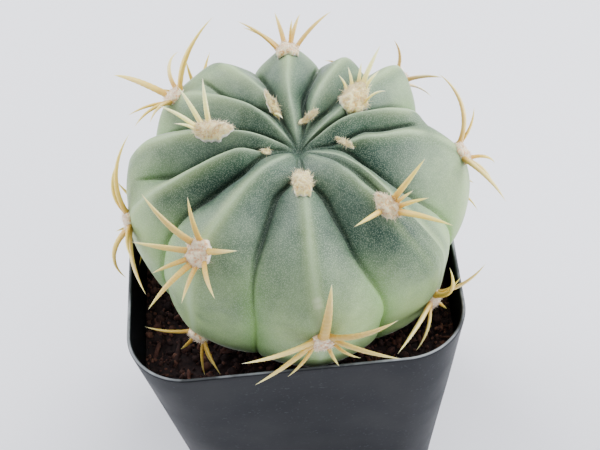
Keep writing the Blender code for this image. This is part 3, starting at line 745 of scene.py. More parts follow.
def felt_pad(axes, rib, arc, felt, youth, seed):
    """A pad of felt, as rings from the middle of its underside to the middle of its top.

    A ring's share of the outline shrinks to the middle. The top stands on the skin by the
    rise times the height of a flattened dome, with lumps, and the underside is sunk in.
    """
    place, up, right, outward = axes
    rise = felt[2]
    turn = np.linspace(0.0, 2.0 * math.pi, FELT_SPOKES, endpoint=False)
    outline = pad_outline(turn, felt)
    lumps = 1.0 + 0.10 * ripple(outline @ np.array([[1.0, 0.0, 0.0], [0.0, 1.0, 0.0]]),
                                FELT_LUMP_SIZE, seed)
    share = np.concatenate((np.linspace(0.1, 1.0, FELT_RINGS // 2),
                            np.linspace(1.0, 0.05, FELT_RINGS)))
    top = np.concatenate((np.zeros(FELT_RINGS // 2), np.ones(FELT_RINGS)))
    flat = share[:, None, None] * (outline * lumps[:, None])[None, :, :]
    skin = skin_height(flat.reshape(-1, 2), axes, rib, arc).reshape(flat.shape[:2])
    middle = skin_height(np.zeros((1, 2)), axes, rib, arc)[0]
    dome = np.sqrt(1.0 - PAD_DOME * share ** 2)[:, None]
    rough = ripple(np.concatenate((flat, top[:, None, None] + 0.0 * flat[..., :1]), axis=-1),
                   FELT_LUMP_SIZE, seed + 1)
    lump_rise = FELT_LUMP_RISE[1] + (FELT_LUMP_RISE[0] - FELT_LUMP_RISE[1]) * youth
    lump_rise = min(lump_rise, 0.4 * rise)
    stood = np.minimum(middle + GAP + rise * dome, skin + rise) + lump_rise * rough * dome
    stood = np.maximum(stood, skin + 0.15)
    height = np.where(top[:, None] > 0.0, stood, skin - FELT_SINK)
    rings = (place + flat[..., :1] * right + flat[..., 1:] * up + height[..., None] * outward)
    # Painted shade: the pad is painted paler on its higher lumps and browner in its hollows.
    tip = 0.55 + 0.35 * np.clip(rough, -1.0, 1.0)
    shape = closed_loft(standing(rings), tip=tip, youth=np.full(tip.shape, youth))
    return shape, rings[FELT_RINGS // 2:], middle


def fibres(roots, ways, lengths, curls, youth, draw):
    """Fine tapered fibres with three sides, each a root moved on along a bending way.

    A point at share t lies at root + length * (t * way + t * t * curl), and its ring's
    radius shrinks with the square root of what is left to a single point at the tip.
    """
    count = len(roots)
    share = np.linspace(0.0, 1.0, FIBRE_ROWS + 1)
    path = (roots[:, None, :] + lengths[:, None, None]
            * (share[None, :, None] * ways[:, None, :]
               + (share ** 2)[None, :, None] * curls[:, None, :]))
    side = np.cross(ways, draw.normal(size=ways.shape))
    side = side / np.linalg.norm(side, axis=1, keepdims=True)
    other = np.cross(ways, side)
    turn = np.radians((0.0, 120.0, 240.0))
    ring = (np.cos(turn)[None, :, None] * side[:, None, :]
            + np.sin(turn)[None, :, None] * other[:, None, :])
    radius = FIBRE_RADIUS * np.sqrt(1.0 - share[:-1])
    body = path[:, :-1, None, :] + radius[None, :, None, None] * ring[:, None, :, :]
    points = np.concatenate((body.reshape(count, -1, 3), path[:, -1:, :]), axis=1)
    corner = np.arange(3 * FIBRE_ROWS).reshape(FIBRE_ROWS, 3)
    faces = [ring_quads(corner), fan(corner[-1], corner.size), corner[:1, ::-1]]
    # Painted shade: each fibre is painted browner towards its root.
    tone = draw.uniform(-0.25, 0.15, count)[:, None]
    tip = np.clip(np.append(np.repeat(share[:-1], 3), 1.0)[None, :] + tone, 0.0, 1.0)
    return repeated(points, faces, tip=tip, youth=np.full(tip.shape, youth))


def felt_fibres(axes, rings, felt, youth, seed):
    """The fibres that stand from a pad's top, combed outward and, when young, to the crown."""
    _, up, _, outward = axes
    draw = np.random.default_rng(seed)
    count = FIBRE_COUNT[1] + (FIBRE_COUNT[0] - FIBRE_COUNT[1]) * youth
    count = int(count * min(1.0, felt[0] * felt[1] / FULL_FELT))
    row = (len(rings) - 1) * (1.0 - np.sqrt(draw.uniform(0.0, 1.0, count)))
    low, part = row.astype(int), (row % 1.0)[:, None]
    column = draw.integers(0, FELT_SPOKES, count)
    high = np.minimum(low + 1, len(rings) - 1)
    roots = rings[low, column] * (1.0 - part) + rings[high, column] * part
    roots = roots - 0.12 * outward + draw.normal(scale=0.1, size=roots.shape)
    away = roots - rings[-1].mean(axis=0)
    away = away - (away @ outward)[:, None] * outward
    away = away / np.maximum(np.linalg.norm(away, axis=1, keepdims=True), 1.0)
    combed = (away @ up)[:, None] * up * youth
    ways = (outward * 0.45 + away * 0.6 + combed + up * 0.2 * youth
            + draw.normal(scale=0.35, size=roots.shape))
    ways = ways / np.linalg.norm(ways, axis=1, keepdims=True)
    lengths = FIBRE_LENGTH[1] + (FIBRE_LENGTH[0] - FIBRE_LENGTH[1]) * youth
    lengths = lengths * min(1.0, 0.45 + felt[0] / 10.0) * draw.uniform(0.3, 1.0, count) ** 1.3
    curls = draw.normal(scale=0.35, size=roots.shape) - 0.15 * outward
    return fibres(standing(roots), ways @ STEM_TURN.T, lengths, curls @ STEM_TURN.T, youth, draw)


def spine_shape(axes, root, shift, bearing, rise, length, bow, girth, tone, seed):
    """A thorn: an oval section carried along a path that bends towards the rib.

    The path's angle off the rib falls evenly from the rise plus the bow to the rise less
    the bow. The root is then shifted, by a share that falls as the square of what is left
    of the thorn. The section shrinks as 1 less a power of the share of the length, swells
    to a bulb at the root, and has low rings round it, closer than its own width.
    """
    _, up, right, outward = axes
    turn = math.radians(bearing)
    level = math.cos(turn) * up + math.sin(turn) * right
    across = np.cross(outward, level)
    share = np.linspace(0.0, 1.0, SPINE_ROWS + 1)
    angle = np.radians(rise + bow * (1.0 - share[1:] - share[:-1]))
    step = length / SPINE_ROWS
    legs = step * (np.cos(angle)[:, None] * level + np.sin(angle)[:, None] * outward)
    path = root + np.vstack((np.zeros(3), np.cumsum(legs, axis=0)))
    path = path + ((1.0 - share) ** 2)[:, None] * shift
    bend = np.radians(rise + bow * (1.0 - 2.0 * share))
    lift = np.cos(bend)[:, None] * outward - np.sin(bend)[:, None] * level
    girth = girth * min(1.0, SPINE_THINNEST + length / SPINE_FULL_LENGTH)
    thick = girth * (1.0 - share ** SPINE_FULLNESS)
    thick = thick * (1.0 + ROOT_BULB * bell(share * length, ROOT_BULB_REACH))
    draw = np.random.default_rng(seed)
    rings = np.sin(2.0 * math.pi * (share * length / RING_SPACING + draw.uniform())
                   + 0.8 * np.sin(3.0 * share * length))
    thick = np.maximum(thick * (1.0 + RING_RISE * rings), 0.01)
    around = np.linspace(0.0, 2.0 * math.pi, SPINE_COLUMNS, endpoint=False)
    section = (np.cos(around)[None, :, None] * across * SPINE_WIDTH / 2.0
               + np.sin(around)[None, :, None] * lift[:, None, :] * SPINE_DEPTH / 2.0)
    points = path[:, None, :] + section * thick[:, None, None]
    along = np.broadcast_to(share[:, None], points.shape[:2])
    ringed = np.broadcast_to(rings[:, None], points.shape[:2])
    own = np.full(points.shape[:2], tone + draw.uniform(-0.3, 0.3))
    from_root = along * length
    under = np.broadcast_to(0.5 - 0.5 * np.sin(around - 0.6)[None, :], points.shape[:2])
    return closed_loft(standing(points), along=along, from_root=from_root / 10.0, under=under,
                       ringed=ringed * 0.5 + 0.5, tone=own / 3.0)


def old_spines(draw):
    """A bunch by rule: spines spaced round the pad, each with its own small stray."""
    spines = []
    first = draw.uniform(-OLD_TURN, OLD_TURN)
    for number in range(OLD_SPINES):
        stray = draw.uniform(-OLD_STRAY, OLD_STRAY)
        bearing = first + number * 360.0 / OLD_SPINES + stray
        spines.append((bearing, draw.uniform(*OLD_RISE), draw.uniform(*OLD_LENGTH),
                       draw.uniform(*OLD_BOW)))
    return spines


def make_areoles(felt, horn):
    """Each areole as a piece of felt and a piece of spines, rooted on the stem's own surface."""
    draw = random.Random(SEED)
    names = [row[0] for row in RIBS]
    for number, (name, rib_name, arc, width, length, rise, tone, spines) in enumerate(AREOLES):
        rib = names.index(rib_name)
        axes = areole_frame(rib, arc)
        place, up, right, outward = axes
        youth = 1.0 - float(smooth_step(arc, *YOUNG_ARCS))
        seed = 100 + 10 * number
        own = YOUNG_FELT.get(name, (FELT_GROWTH * width, FELT_GROWTH * length, rise, 0, 0.0, 0.0))
        pad, rings, middle = felt_pad(axes, rib, arc, own, youth, seed)
        wool = joined([pad, felt_fibres(axes, rings, own, youth, seed + 2)])
        make_piece("felt_" + name, wool, felt, "areole_wool", "areole_" + name)
        if spines is OLD:
            spines = old_spines(draw)
        thorns = []
        for bearing, tilt, reach, bow in spines:
            turn = math.radians(bearing)
            away = ROOT_OUT * (math.cos(turn) * length * up + math.sin(turn) * width * right)
            root = place + away + (middle + GAP + ROOT_DEPTH * rise) * outward
            flat = EDGE_ROOT_OUT * np.array([[math.sin(turn) * own[0], math.cos(turn) * own[1]]])
            level = skin_height(flat, axes, rib, arc)[0] + EDGE_ROOT_DEPTH * rise
            edge = place + flat[0, 0] * right + flat[0, 1] * up + level * outward
            girth = STOUT_SPINES.get((name, len(thorns)), 1.0)
            thorns.append(spine_shape(axes, root, edge - root, bearing, tilt, reach, bow,
                                      girth, tone, seed + 3 + len(thorns)))
        if thorns:
            make_piece("spines_" + name, joined(thorns), horn, "spine_horn", "areole_" + name)


# Pot and potting mix

def square_radius(turn, half_width, corner):
    """How far a square with round corners reaches from its middle, at each turn."""
    across, along = np.abs(np.cos(turn)), np.abs(np.sin(turn))
    flat = half_width / np.maximum(across, along)
    centre = half_width - corner
    beside = centre * (across + along)
    inside = np.maximum(beside ** 2 - (2.0 * centre ** 2 - corner ** 2), 0.0)
    on_flat = np.minimum(across, along) * flat <= centre
    return np.where(on_flat, flat, beside + np.sqrt(inside))


def pot_ring(turn, height, inset):
    """The pot's outline at a height, moved in from its outside by inset."""
    share = height / POT_HEIGHT
    half_width = BASE_HALF_WIDTH + (RIM_HALF_WIDTH - BASE_HALF_WIDTH) * share - inset
    corner = BASE_CORNER + (RIM_CORNER - BASE_CORNER) * share - inset
    radius = square_radius(turn, half_width, corner)
    return np.stack((radius * np.cos(turn), radius * np.sin(turn),
                     np.full(turn.shape, height)), axis=-1)


def pot_shape():
    """The pot as rings: out over its foot, up the wall, round the lip, down and in.

    The lip is half a circle of the wall's thickness, and the foot's edge is a quarter.
    """
    turn = np.linspace(0.0, 2.0 * math.pi, POT_COLUMNS, endpoint=False)
    lip = WALL / 2.0
    quarter = np.radians(np.linspace(0.0, 90.0, 6))
    half = np.radians(np.linspace(0.0, 180.0, 15))
    profile = [(0.0, BASE_HALF_WIDTH * share) for share in (0.96, 0.6, 0.3, 0.1)]
    profile += [(lip * (1.0 - math.cos(angle)), lip * (1.0 - math.sin(angle)))
                for angle in quarter]
    profile += [(height, 0.0) for height in np.linspace(3.0, POT_HEIGHT - 2.0, 40)]
    profile += [(POT_HEIGHT - lip + lip * math.sin(angle), lip - lip * math.cos(angle))
                for angle in half]
    profile += [(height, WALL) for height in np.linspace(POT_HEIGHT - 2.0, 4.0, 30)]
    profile += [(BASE_THICKNESS, inset) for inset in (WALL, 6.0, 16.0, 26.0, 31.0)]
    rings = np.stack([pot_ring(turn, height, inset) for height, inset in profile])
    wall = smooth_step(rings[..., 2], 1.0, 10.0) * (1.0 - smooth_step(rings[..., 2], 70.0, 82.0))
    rings[..., :2] *= (1.0 + POT_WAVE / RIM_HALF_WIDTH * ripple(rings, 38.0, 21) * wall)[..., None]
    return closed_loft(rings, rim=bell(POT_HEIGHT - rings[..., 2], LIP_WEAR_AND_HIGHLIGHT))


def make_pot(plastic):
    """The pot, with a round drain hole near each corner of its base."""
    pot = make_piece("pot_shell", pot_shape(), plastic, "pot_plastic", "pot")
    for number in range(4):
        turn = math.radians(45.0 + 90.0 * number)
        reach = DRAIN_DISTANCE * math.sqrt(2.0) * MM
        bpy.ops.mesh.primitive_cylinder_add(
            vertices=40, radius=DRAIN_DIAMETER / 2.0 * MM, depth=6.0 * BASE_THICKNESS * MM,
            location=(reach * math.cos(turn), reach * math.sin(turn), 0.0))
        drill = bpy.context.object
        hole = pot.modifiers.new("drain_hole", "BOOLEAN")
        hole.operation = "DIFFERENCE"
        hole.object = drill
        graph = bpy.context.evaluated_depsgraph_get()
        drilled = bpy.data.meshes.new_from_object(pot.evaluated_get(graph))
        pot.modifiers.clear()
        pot.data = drilled
        bpy.data.objects.remove(drill, do_unlink=True)


def mix_edges(turn):
    """The mix's outer edge, by the pot's wall, and its inner edge, round the stem."""
    outer = pot_ring(turn, MIX_TOP, WALL + GAP)
    arcs = np.linspace(WAIST_ARC + 6.0, END_ARC - 1.0, HOLE_ROWS)[:, None]
    radius, height, out, up = envelope(arcs)
    away = radius + FOOT_CLEARANCE * out
    level = np.broadcast_to(height + FOOT_CLEARANCE * up, (HOLE_ROWS, len(turn)))
    hole = standing(np.stack((away * np.cos(turn), away * np.sin(turn), level), axis=-1))
    row = np.argmax(hole[..., 2] < MIX_TOP, axis=0)
    column = np.arange(len(turn))
    above, below = hole[row - 1, column], hole[row, column]
    part = (above[:, 2] - MIX_TOP) / (above[:, 2] - below[:, 2])
    return outer, above + (below - above) * part[:, None], hole, row


def mix_height(points):
    """How far the loose top stands over or under its level."""
    humps = ripple(points, 9.0, 31) * 0.6 + ripple(points, 3.1, 32) * 0.3
    return MIX_HUMPS * humps + 0.25 * ripple(points, 1.3, 33)


def mix_shape():
    """The mix as rings: up the pot's wall, in over the top and down the plant's hole."""
    turn = np.linspace(0.0, 2.0 * math.pi, MIX_COLUMNS, endpoint=False)
    outer, inner, hole, row = mix_edges(turn)
    walls = [pot_ring(turn, height, WALL + GAP) for height in (MIX_BOTTOM, 20.0, 45.0, 66.0)]
    share = np.linspace(0.0, 1.0, MIX_ROWS)[:, None, None]
    top = outer + (inner - outer) * share
    top[..., 2] += mix_height(top)
    depth = np.linspace(0.0, 1.0, FUNNEL_ROWS + 1)[1:, None]
    place = row + depth * (len(hole) - 1 - row)
    low, column = np.floor(place).astype(int), np.arange(MIX_COLUMNS)[None, :]
    part = (place - low)[..., None]
    high = np.minimum(low + 1, len(hole) - 1)
    funnel = hole[low, column] * (1.0 - part) + hole[high, column] * part
    return closed_loft(np.concatenate((np.stack(walls), top, funnel)))


def grit_shape():
    """Loose crumbs on the mix: lumpy balls, stretched, turned and sunk in by half.

    A crumb's points lie on a ball of six columns and three rows with two poles, each moved
    in or out a little, stretched along three drawn axes and turned by a drawn rotation.
    What would pass the pot's wall is pushed straight back in to it.
    """
    draw = np.random.default_rng(41)
    turn = draw.uniform(0.0, 2.0 * math.pi, GRIT_COUNT)
    outer, inner, _, _ = mix_edges(turn)
    share = draw.uniform(0.01, 0.97, GRIT_COUNT)[:, None]
    centre = outer + (inner - outer) * share
    size = GRIT_SIZE[0] + (GRIT_SIZE[1] - GRIT_SIZE[0]) * draw.uniform(0.0, 1.0, GRIT_COUNT) ** 3
    centre[:, 2] += mix_height(centre) + 0.15 * size
    tilt = np.radians((-45.0, 0.0, 45.0))
    spin = np.radians(np.arange(0.0, 360.0, 60.0))
    ring = np.stack((np.cos(tilt)[:, None] * np.cos(spin), np.cos(tilt)[:, None] * np.sin(spin),
                     np.sin(tilt)[:, None] + 0.0 * spin), axis=-1).reshape(-1, 3)
    ball = np.vstack((ring, (0.0, 0.0, -1.0), (0.0, 0.0, 1.0)))
    lumpy = ball[None, :, :] * draw.uniform(0.72, 1.2, (GRIT_COUNT, len(ball), 1))
    stretch = draw.uniform(0.55, 1.2, (GRIT_COUNT, 1, 3))
    sliver = draw.uniform(0.0, 1.0, GRIT_COUNT) < SLIVER_SHARE
    stretch[sliver] *= (2.4, 0.6, 0.4)
    rotation, _ = np.linalg.qr(draw.normal(size=(GRIT_COUNT, 3, 3)))
    rotation = rotation * np.linalg.det(rotation)[:, None, None]
    points = (lumpy * stretch * size[:, None, None]) @ rotation + centre[:, None, :]
    wall = pot_ring(np.arctan2(points[..., 1], points[..., 0]), MIX_TOP, WALL + GAP)
    room = np.hypot(wall[..., 0], wall[..., 1]) / np.hypot(points[..., 0], points[..., 1])
    points[..., :2] *= np.minimum(room, 1.0)[..., None]
    corner = np.arange(len(ring)).reshape(len(tilt), len(spin))
    faces = [ring_quads(corner), fan(corner[0, ::-1], corner.size),
             fan(corner[-1], corner.size + 1)]
    tone = np.repeat(draw.uniform(0.0, 1.0, GRIT_COUNT)[:, None], len(ball), axis=1)
    return repeated(points, faces, tone=tone)


# Materials

def cactus_skin():
    """Waxy cactus skin: a firm green skin that has grown a pale bloom of wax.

    The bloom hides the green least on the young skin round the crown and most on the old,
    outer parts, with clouds and blotches in it. It is painted thinner in deep furrows, as
    painted shade, and patches of painted light and shade lie on it. Fresh green lies beside
    the low furrows. The line along a furrow's bottom is painted dark near the crown, as
    painted shade, and is fresh green lower down. A pale painted highlight runs along the
    crests, with a wider yellow-green one beside them away from the crown, and a darker green
    band of painted shade lies along the right-hand side of each crest. Breathing pores show
    as fine pale specks.
    They are drawn 0.28 mm apart, coarser than the real ones, which would be too fine to
    show.
    """
    material, tree, shader = new_material("waxy_cactus_skin")
    place = add_node(tree, "ShaderNodeTexCoord").outputs["Object"]
    marks = {name: add_node(tree, "ShaderNodeAttribute", attribute_name=name).outputs["Fac"]
             for name in ("crest", "near_crest", "lee", "furrow", "near_furrow", "depth",
                          "down", "patch", "scar")}
    clouds = add_node(tree, "ShaderNodeTexNoise", {"Vector": place, "Scale": 1.0 / (11.0 * MM),
                                                   "Detail": 3.0}).outputs["Fac"]
    blotches = add_node(tree, "ShaderNodeTexNoise", {"Vector": place, "Scale": 1.0 / (3.2 * MM),
                                                     "Detail": 4.0}).outputs["Fac"]
    pores = add_node(tree, "ShaderNodeTexVoronoi", {"Vector": place, "Scale": 1.0 / (0.28 * MM)})
    bloom = add_node(tree, "ShaderNodeMapRange", {
        "Value": marks["down"], "From Min": 0.24, "From Max": 0.56, "To Min": 0.29,
        "To Max": 0.58}).outputs[0]
    cloudy = add_node(tree, "ShaderNodeMapRange", {
        "Value": clouds, "From Min": 0.3, "From Max": 0.7, "To Min": -0.13,
        "To Max": 0.13}).outputs[0]
    mottled = add_node(tree, "ShaderNodeMapRange", {
        "Value": blotches, "From Min": 0.3, "From Max": 0.7, "To Min": -0.08,
        "To Max": 0.08}).outputs[0]
    # Painted shade: the bloom is painted thinner, so the skin darker, the deeper a furrow lies.
    painted_furrow_shade = add_node(tree, "ShaderNodeMath", {0: marks["depth"], 1: -0.05},
                         operation="MULTIPLY").outputs[0]
    for part in (cloudy, mottled, painted_furrow_shade):
        bloom = add_node(tree, "ShaderNodeMath", {0: bloom, 1: part}, operation="ADD").outputs[0]
    bloom = add_node(tree, "ShaderNodeMath", {0: bloom, 1: marks["patch"]}, operation="ADD",
                     use_clamp=True).outputs[0]
    ageing = add_node(tree, "ShaderNodeMapRange", {
        "Value": marks["down"], "From Min": 0.24, "From Max": 0.56}).outputs[0]
    wax = add_node(tree, "ShaderNodeMix", {0: ageing, 6: linear("#869b86"),
                                           7: linear("#97b175")}, data_type="RGBA").outputs[2]
    colour = add_node(tree, "ShaderNodeMix", {0: bloom, 6: linear("#264236"), 7: wax},
                      data_type="RGBA").outputs[2]
    # The furrow line: dark near the crown, as painted shade, and the skin's own fresh green lower
    # down.
    low = add_node(tree, "ShaderNodeMapRange", {
        "Value": marks["down"], "From Min": 0.38, "From Max": 0.58}).outputs[0]
    line = add_node(tree, "ShaderNodeMix", {0: low, 6: linear("#22362c"),
                                            7: linear("#80b046")}, data_type="RGBA").outputs[2]
    # How strong the wide painted highlight beside the crests is, growing away from the crown.
    edge = add_node(tree, "ShaderNodeMapRange", {
        "Value": marks["down"], "From Min": 0.12, "From Max": 0.28, "To Min": 0.05,
        "To Max": 0.40}).outputs[0]
    # The green beside the low furrows is the skin's own. The crest tint and the wider one beside it
    # are painted highlights, the dark band to the right of a crest is painted shade, and the furrow
    # line is painted shade near the crown.
    for mark, share, tint in (("near_furrow", 0.42, linear("#68984a")), ("furrow", 0.50, line),
                              ("near_crest", edge, linear("#b4cc84")),
                              ("lee", 0.40, linear("#33553e")), ("crest", 0.60, linear("#99b18f"))):
        cover = add_node(tree, "ShaderNodeMath", {0: marks[mark], 1: share},
                         operation="MULTIPLY").outputs[0]
        colour = add_node(tree, "ShaderNodeMix", {0: cover, 6: colour, 7: tint},
                          data_type="RGBA").outputs[2]
    dots = add_node(tree, "ShaderNodeMapRange", {
        "Value": pores.outputs["Distance"], "From Min": 0.50, "From Max": 0.28,
        "To Min": -0.10, "To Max": 0.29}).outputs[0]
    colour = add_node(tree, "ShaderNodeMix", {0: dots, 6: colour, 7: linear("#c0ceb2")},
                      data_type="RGBA").outputs[2]
    colour = add_node(tree, "ShaderNodeMix", {0: marks["scar"], 6: colour,
                                              7: linear("#c6d1b2")}, data_type="RGBA").outputs[2]
    rough = add_node(tree, "ShaderNodeMapRange", {
        "Value": blotches, "From Min": 0.3, "From Max": 0.7, "To Min": 0.46,
        "To Max": 0.60}).outputs[0]
    bump = add_node(tree, "ShaderNodeBump", {
        "Height": pores.outputs["Distance"], "Strength": 0.25, "Distance": 0.06 * MM})
    tree.links.new(colour, shader.inputs["Base Color"])
    tree.links.new(rough, shader.inputs["Roughness"])
    tree.links.new(bump.outputs[0], shader.inputs["Normal"])
    shader.inputs["IOR"].default_value = 1.45
    shader.inputs["Subsurface Weight"].default_value = 0.18
    shader.inputs["Subsurface Scale"].default_value = 1.6 * MM
    shader.inputs["Subsurface Radius"].default_value = (0.7, 1.0, 0.5)
    shader.inputs["Specular IOR Level"].default_value = 0.35
    shader.inputs["Sheen Weight"].default_value = 0.35
    shader.inputs["Sheen Roughness"].default_value = 0.16
    return material


def spine_horn():
    """Spines of dead, woody tissue: hard, slightly glossy, with growth rings across them.

    They are golden brown where they leave the felt, and their underside is painted darker,
    as painted shade, the more so when old. The rest is straw, and the young ones are bleached
    towards the tip.
    """
    material, tree, shader = new_material("spine_horn")
    place = add_node(tree, "ShaderNodeTexCoord").outputs["Object"]
    marks = {name: add_node(tree, "ShaderNodeAttribute", attribute_name=name).outputs["Fac"]
             for name in ("along", "from_root", "ringed", "tone", "under")}
    shaft = add_node(tree, "ShaderNodeValToRGB", {"Fac": marks["tone"]})
    ramp = shaft.color_ramp
    for position, colour in ((0.0, "#faf4a4"), (0.33, "#f8f69c"), (0.66, "#ecd060"),
                             (1.0, "#c2a248")):
        if position in (0.0, 1.0):
            ramp.elements[int(position)].color = linear(colour)
        else:
            ramp.elements.new(position).color = linear(colour)
    aged = add_node(tree, "ShaderNodeMapRange", {
        "Value": marks["tone"], "From Min": 0.0, "From Max": 0.6, "To Min": 0.35,
        "To Max": 0.85}).outputs[0]
    root = add_node(tree, "ShaderNodeMapRange", {
        "Value": marks["from_root"], "From Min": 0.10, "From Max": 0.50, "To Min": 1.0,
        "To Max": 0.0}).outputs[0]
    root = add_node(tree, "ShaderNodeMath", {0: root, 1: aged}, operation="MULTIPLY").outputs[0]
    bleach = add_node(tree, "ShaderNodeMapRange", {
        "Value": marks["along"], "From Min": 0.45, "From Max": 1.0, "To Min": 0.0,
        "To Max": 0.50}).outputs[0]
    kept = add_node(tree, "ShaderNodeMath", {0: 1.0, 1: marks["tone"]}, operation="SUBTRACT",
                    use_clamp=True).outputs[0]
    bleach = add_node(tree, "ShaderNodeMath", {0: bleach, 1: kept},
                      operation="MULTIPLY").outputs[0]
    # Painted shade on each spine's underside, stronger on the darker spines.
    shaded = add_node(tree, "ShaderNodeMath", {0: marks["under"], 1: marks["tone"]},
                      operation="MULTIPLY").outputs[0]
    groove = add_node(tree, "ShaderNodeMapRange", {
        "Value": marks["ringed"], "From Min": 0.0, "From Max": 0.6, "To Min": 0.22,
        "To Max": 0.0}).outputs[0]
    colour = shaft.outputs[0]
    for share, tint in ((root, "#cc9e3c"), (bleach, "#fdfcc6"), (shaded, "#b08a34"),
                        (groove, "#e2cc70")):
        colour = add_node(tree, "ShaderNodeMix", {0: share, 6: colour, 7: linear(tint)},
                          data_type="RGBA").outputs[2]
    grain = add_node(tree, "ShaderNodeTexNoise", {"Vector": place, "Scale": 1.0 / (0.5 * MM),
                                                  "Detail": 2.0}).outputs["Fac"]
    rough = add_node(tree, "ShaderNodeMapRange", {
        "Value": grain, "From Min": 0.3, "From Max": 0.7, "To Min": 0.36,
        "To Max": 0.56}).outputs[0]
    tree.links.new(colour, shader.inputs["Base Color"])
    tree.links.new(rough, shader.inputs["Roughness"])
    shader.inputs["IOR"].default_value = 1.54
    shader.inputs["Subsurface Weight"].default_value = 0.75
    shader.inputs["Subsurface Scale"].default_value = 1.2 * MM
    shader.inputs["Subsurface Radius"].default_value = (1.0, 1.0, 0.6)
    return material


def areole_felt():
    """Plant wool, grown as short matted hairs, which scatter light and look matt and soft.

    It is cream when young and pinkish white when old. It is painted browner at the hairs'
    roots and in the hollows between tufts, as painted shade.
    """
    material, tree, shader = new_material("areole_felt")
    marks = {name: add_node(tree, "ShaderNodeAttribute", attribute_name=name).outputs["Fac"]
             for name in ("tip", "youth")}
    # The browner colour deep at the hairs' roots is painted shade.
    root = add_node(tree, "ShaderNodeMix", {0: marks["youth"], 6: linear("#e8a86c"),
                                            7: linear("#e8c066")}, data_type="RGBA").outputs[2]
    end = add_node(tree, "ShaderNodeMix", {0: marks["youth"], 6: linear("#ffeac4"),
                                           7: linear("#ffee98")}, data_type="RGBA").outputs[2]
    place = add_node(tree, "ShaderNodeTexCoord").outputs["Object"]
    matted = add_node(tree, "ShaderNodeTexNoise", {"Vector": place, "Scale": 1.0 / (0.7 * MM),
                                                   "Detail": 5.0}).outputs["Fac"]
    # Painted shade in the hollows between the matted tufts.
    shade_between_tufts = add_node(tree, "ShaderNodeMapRange", {
        "Value": matted, "From Min": 0.40, "From Max": 0.54, "To Min": -0.42,
        "To Max": 0.50}).outputs[0]
    light = add_node(tree, "ShaderNodeMath", {0: marks["tip"], 1: shade_between_tufts}, operation="ADD",
                     use_clamp=True).outputs[0]
    colour = add_node(tree, "ShaderNodeMix", {0: light, 6: root, 7: end},
                      data_type="RGBA").outputs[2]
    bump = add_node(tree, "ShaderNodeBump", {"Height": matted, "Strength": 0.5,
                                             "Distance": 0.35 * MM})
    tree.links.new(colour, shader.inputs["Base Color"])
    tree.links.new(bump.outputs[0], shader.inputs["Normal"])
    shader.inputs["Roughness"].default_value = 0.9
    shader.inputs["Sheen Weight"].default_value = 0.9
    shader.inputs["Subsurface Weight"].default_value = 0.6
    shader.inputs["Subsurface Scale"].default_value = 0.8 * MM
    shader.inputs["Subsurface Radius"].default_value = (1.0, 0.9, 0.7)
    return material


def potting_crumbs():
    """Peat, bark and a little red grit, screened and loose: matt, dark and uneven."""
    material, tree, shader = new_material("peat_and_grit")
    place = add_node(tree, "ShaderNodeTexCoord").outputs["Object"]
    tone = add_node(tree, "ShaderNodeAttribute", attribute_name="tone").outputs["Fac"]
    crumbs = add_node(tree, "ShaderNodeTexNoise", {"Vector": place, "Scale": 1.0 / (1.1 * MM),
                                                   "Detail": 5.0}).outputs["Fac"]
    mixed = add_node(tree, "ShaderNodeMath", {0: crumbs, 1: tone}, operation="ADD").outputs[0]
    half = add_node(tree, "ShaderNodeMath", {0: mixed, 1: 0.62}, operation="MULTIPLY").outputs[0]
    ramp_node = add_node(tree, "ShaderNodeValToRGB", {"Fac": half})
    ramp = ramp_node.color_ramp
    ramp.elements[0].position = 0.2
    ramp.elements[0].color = linear("#1a1315")
    ramp.elements[1].position = 0.95
    ramp.elements[1].color = linear("#6c4a3c")
    ramp.elements.new(0.55).color = linear("#342422")
    ramp.elements.new(0.78).color = linear("#523630")
    bump = add_node(tree, "ShaderNodeBump", {"Height": crumbs, "Strength": 0.7,
                                             "Distance": 0.3 * MM})
    tree.links.new(ramp_node.outputs[0], shader.inputs["Base Color"])
    tree.links.new(bump.outputs[0], shader.inputs["Normal"])
    shader.inputs["Roughness"].default_value = 0.95
    shader.inputs["Specular IOR Level"].default_value = 0.25
    return material


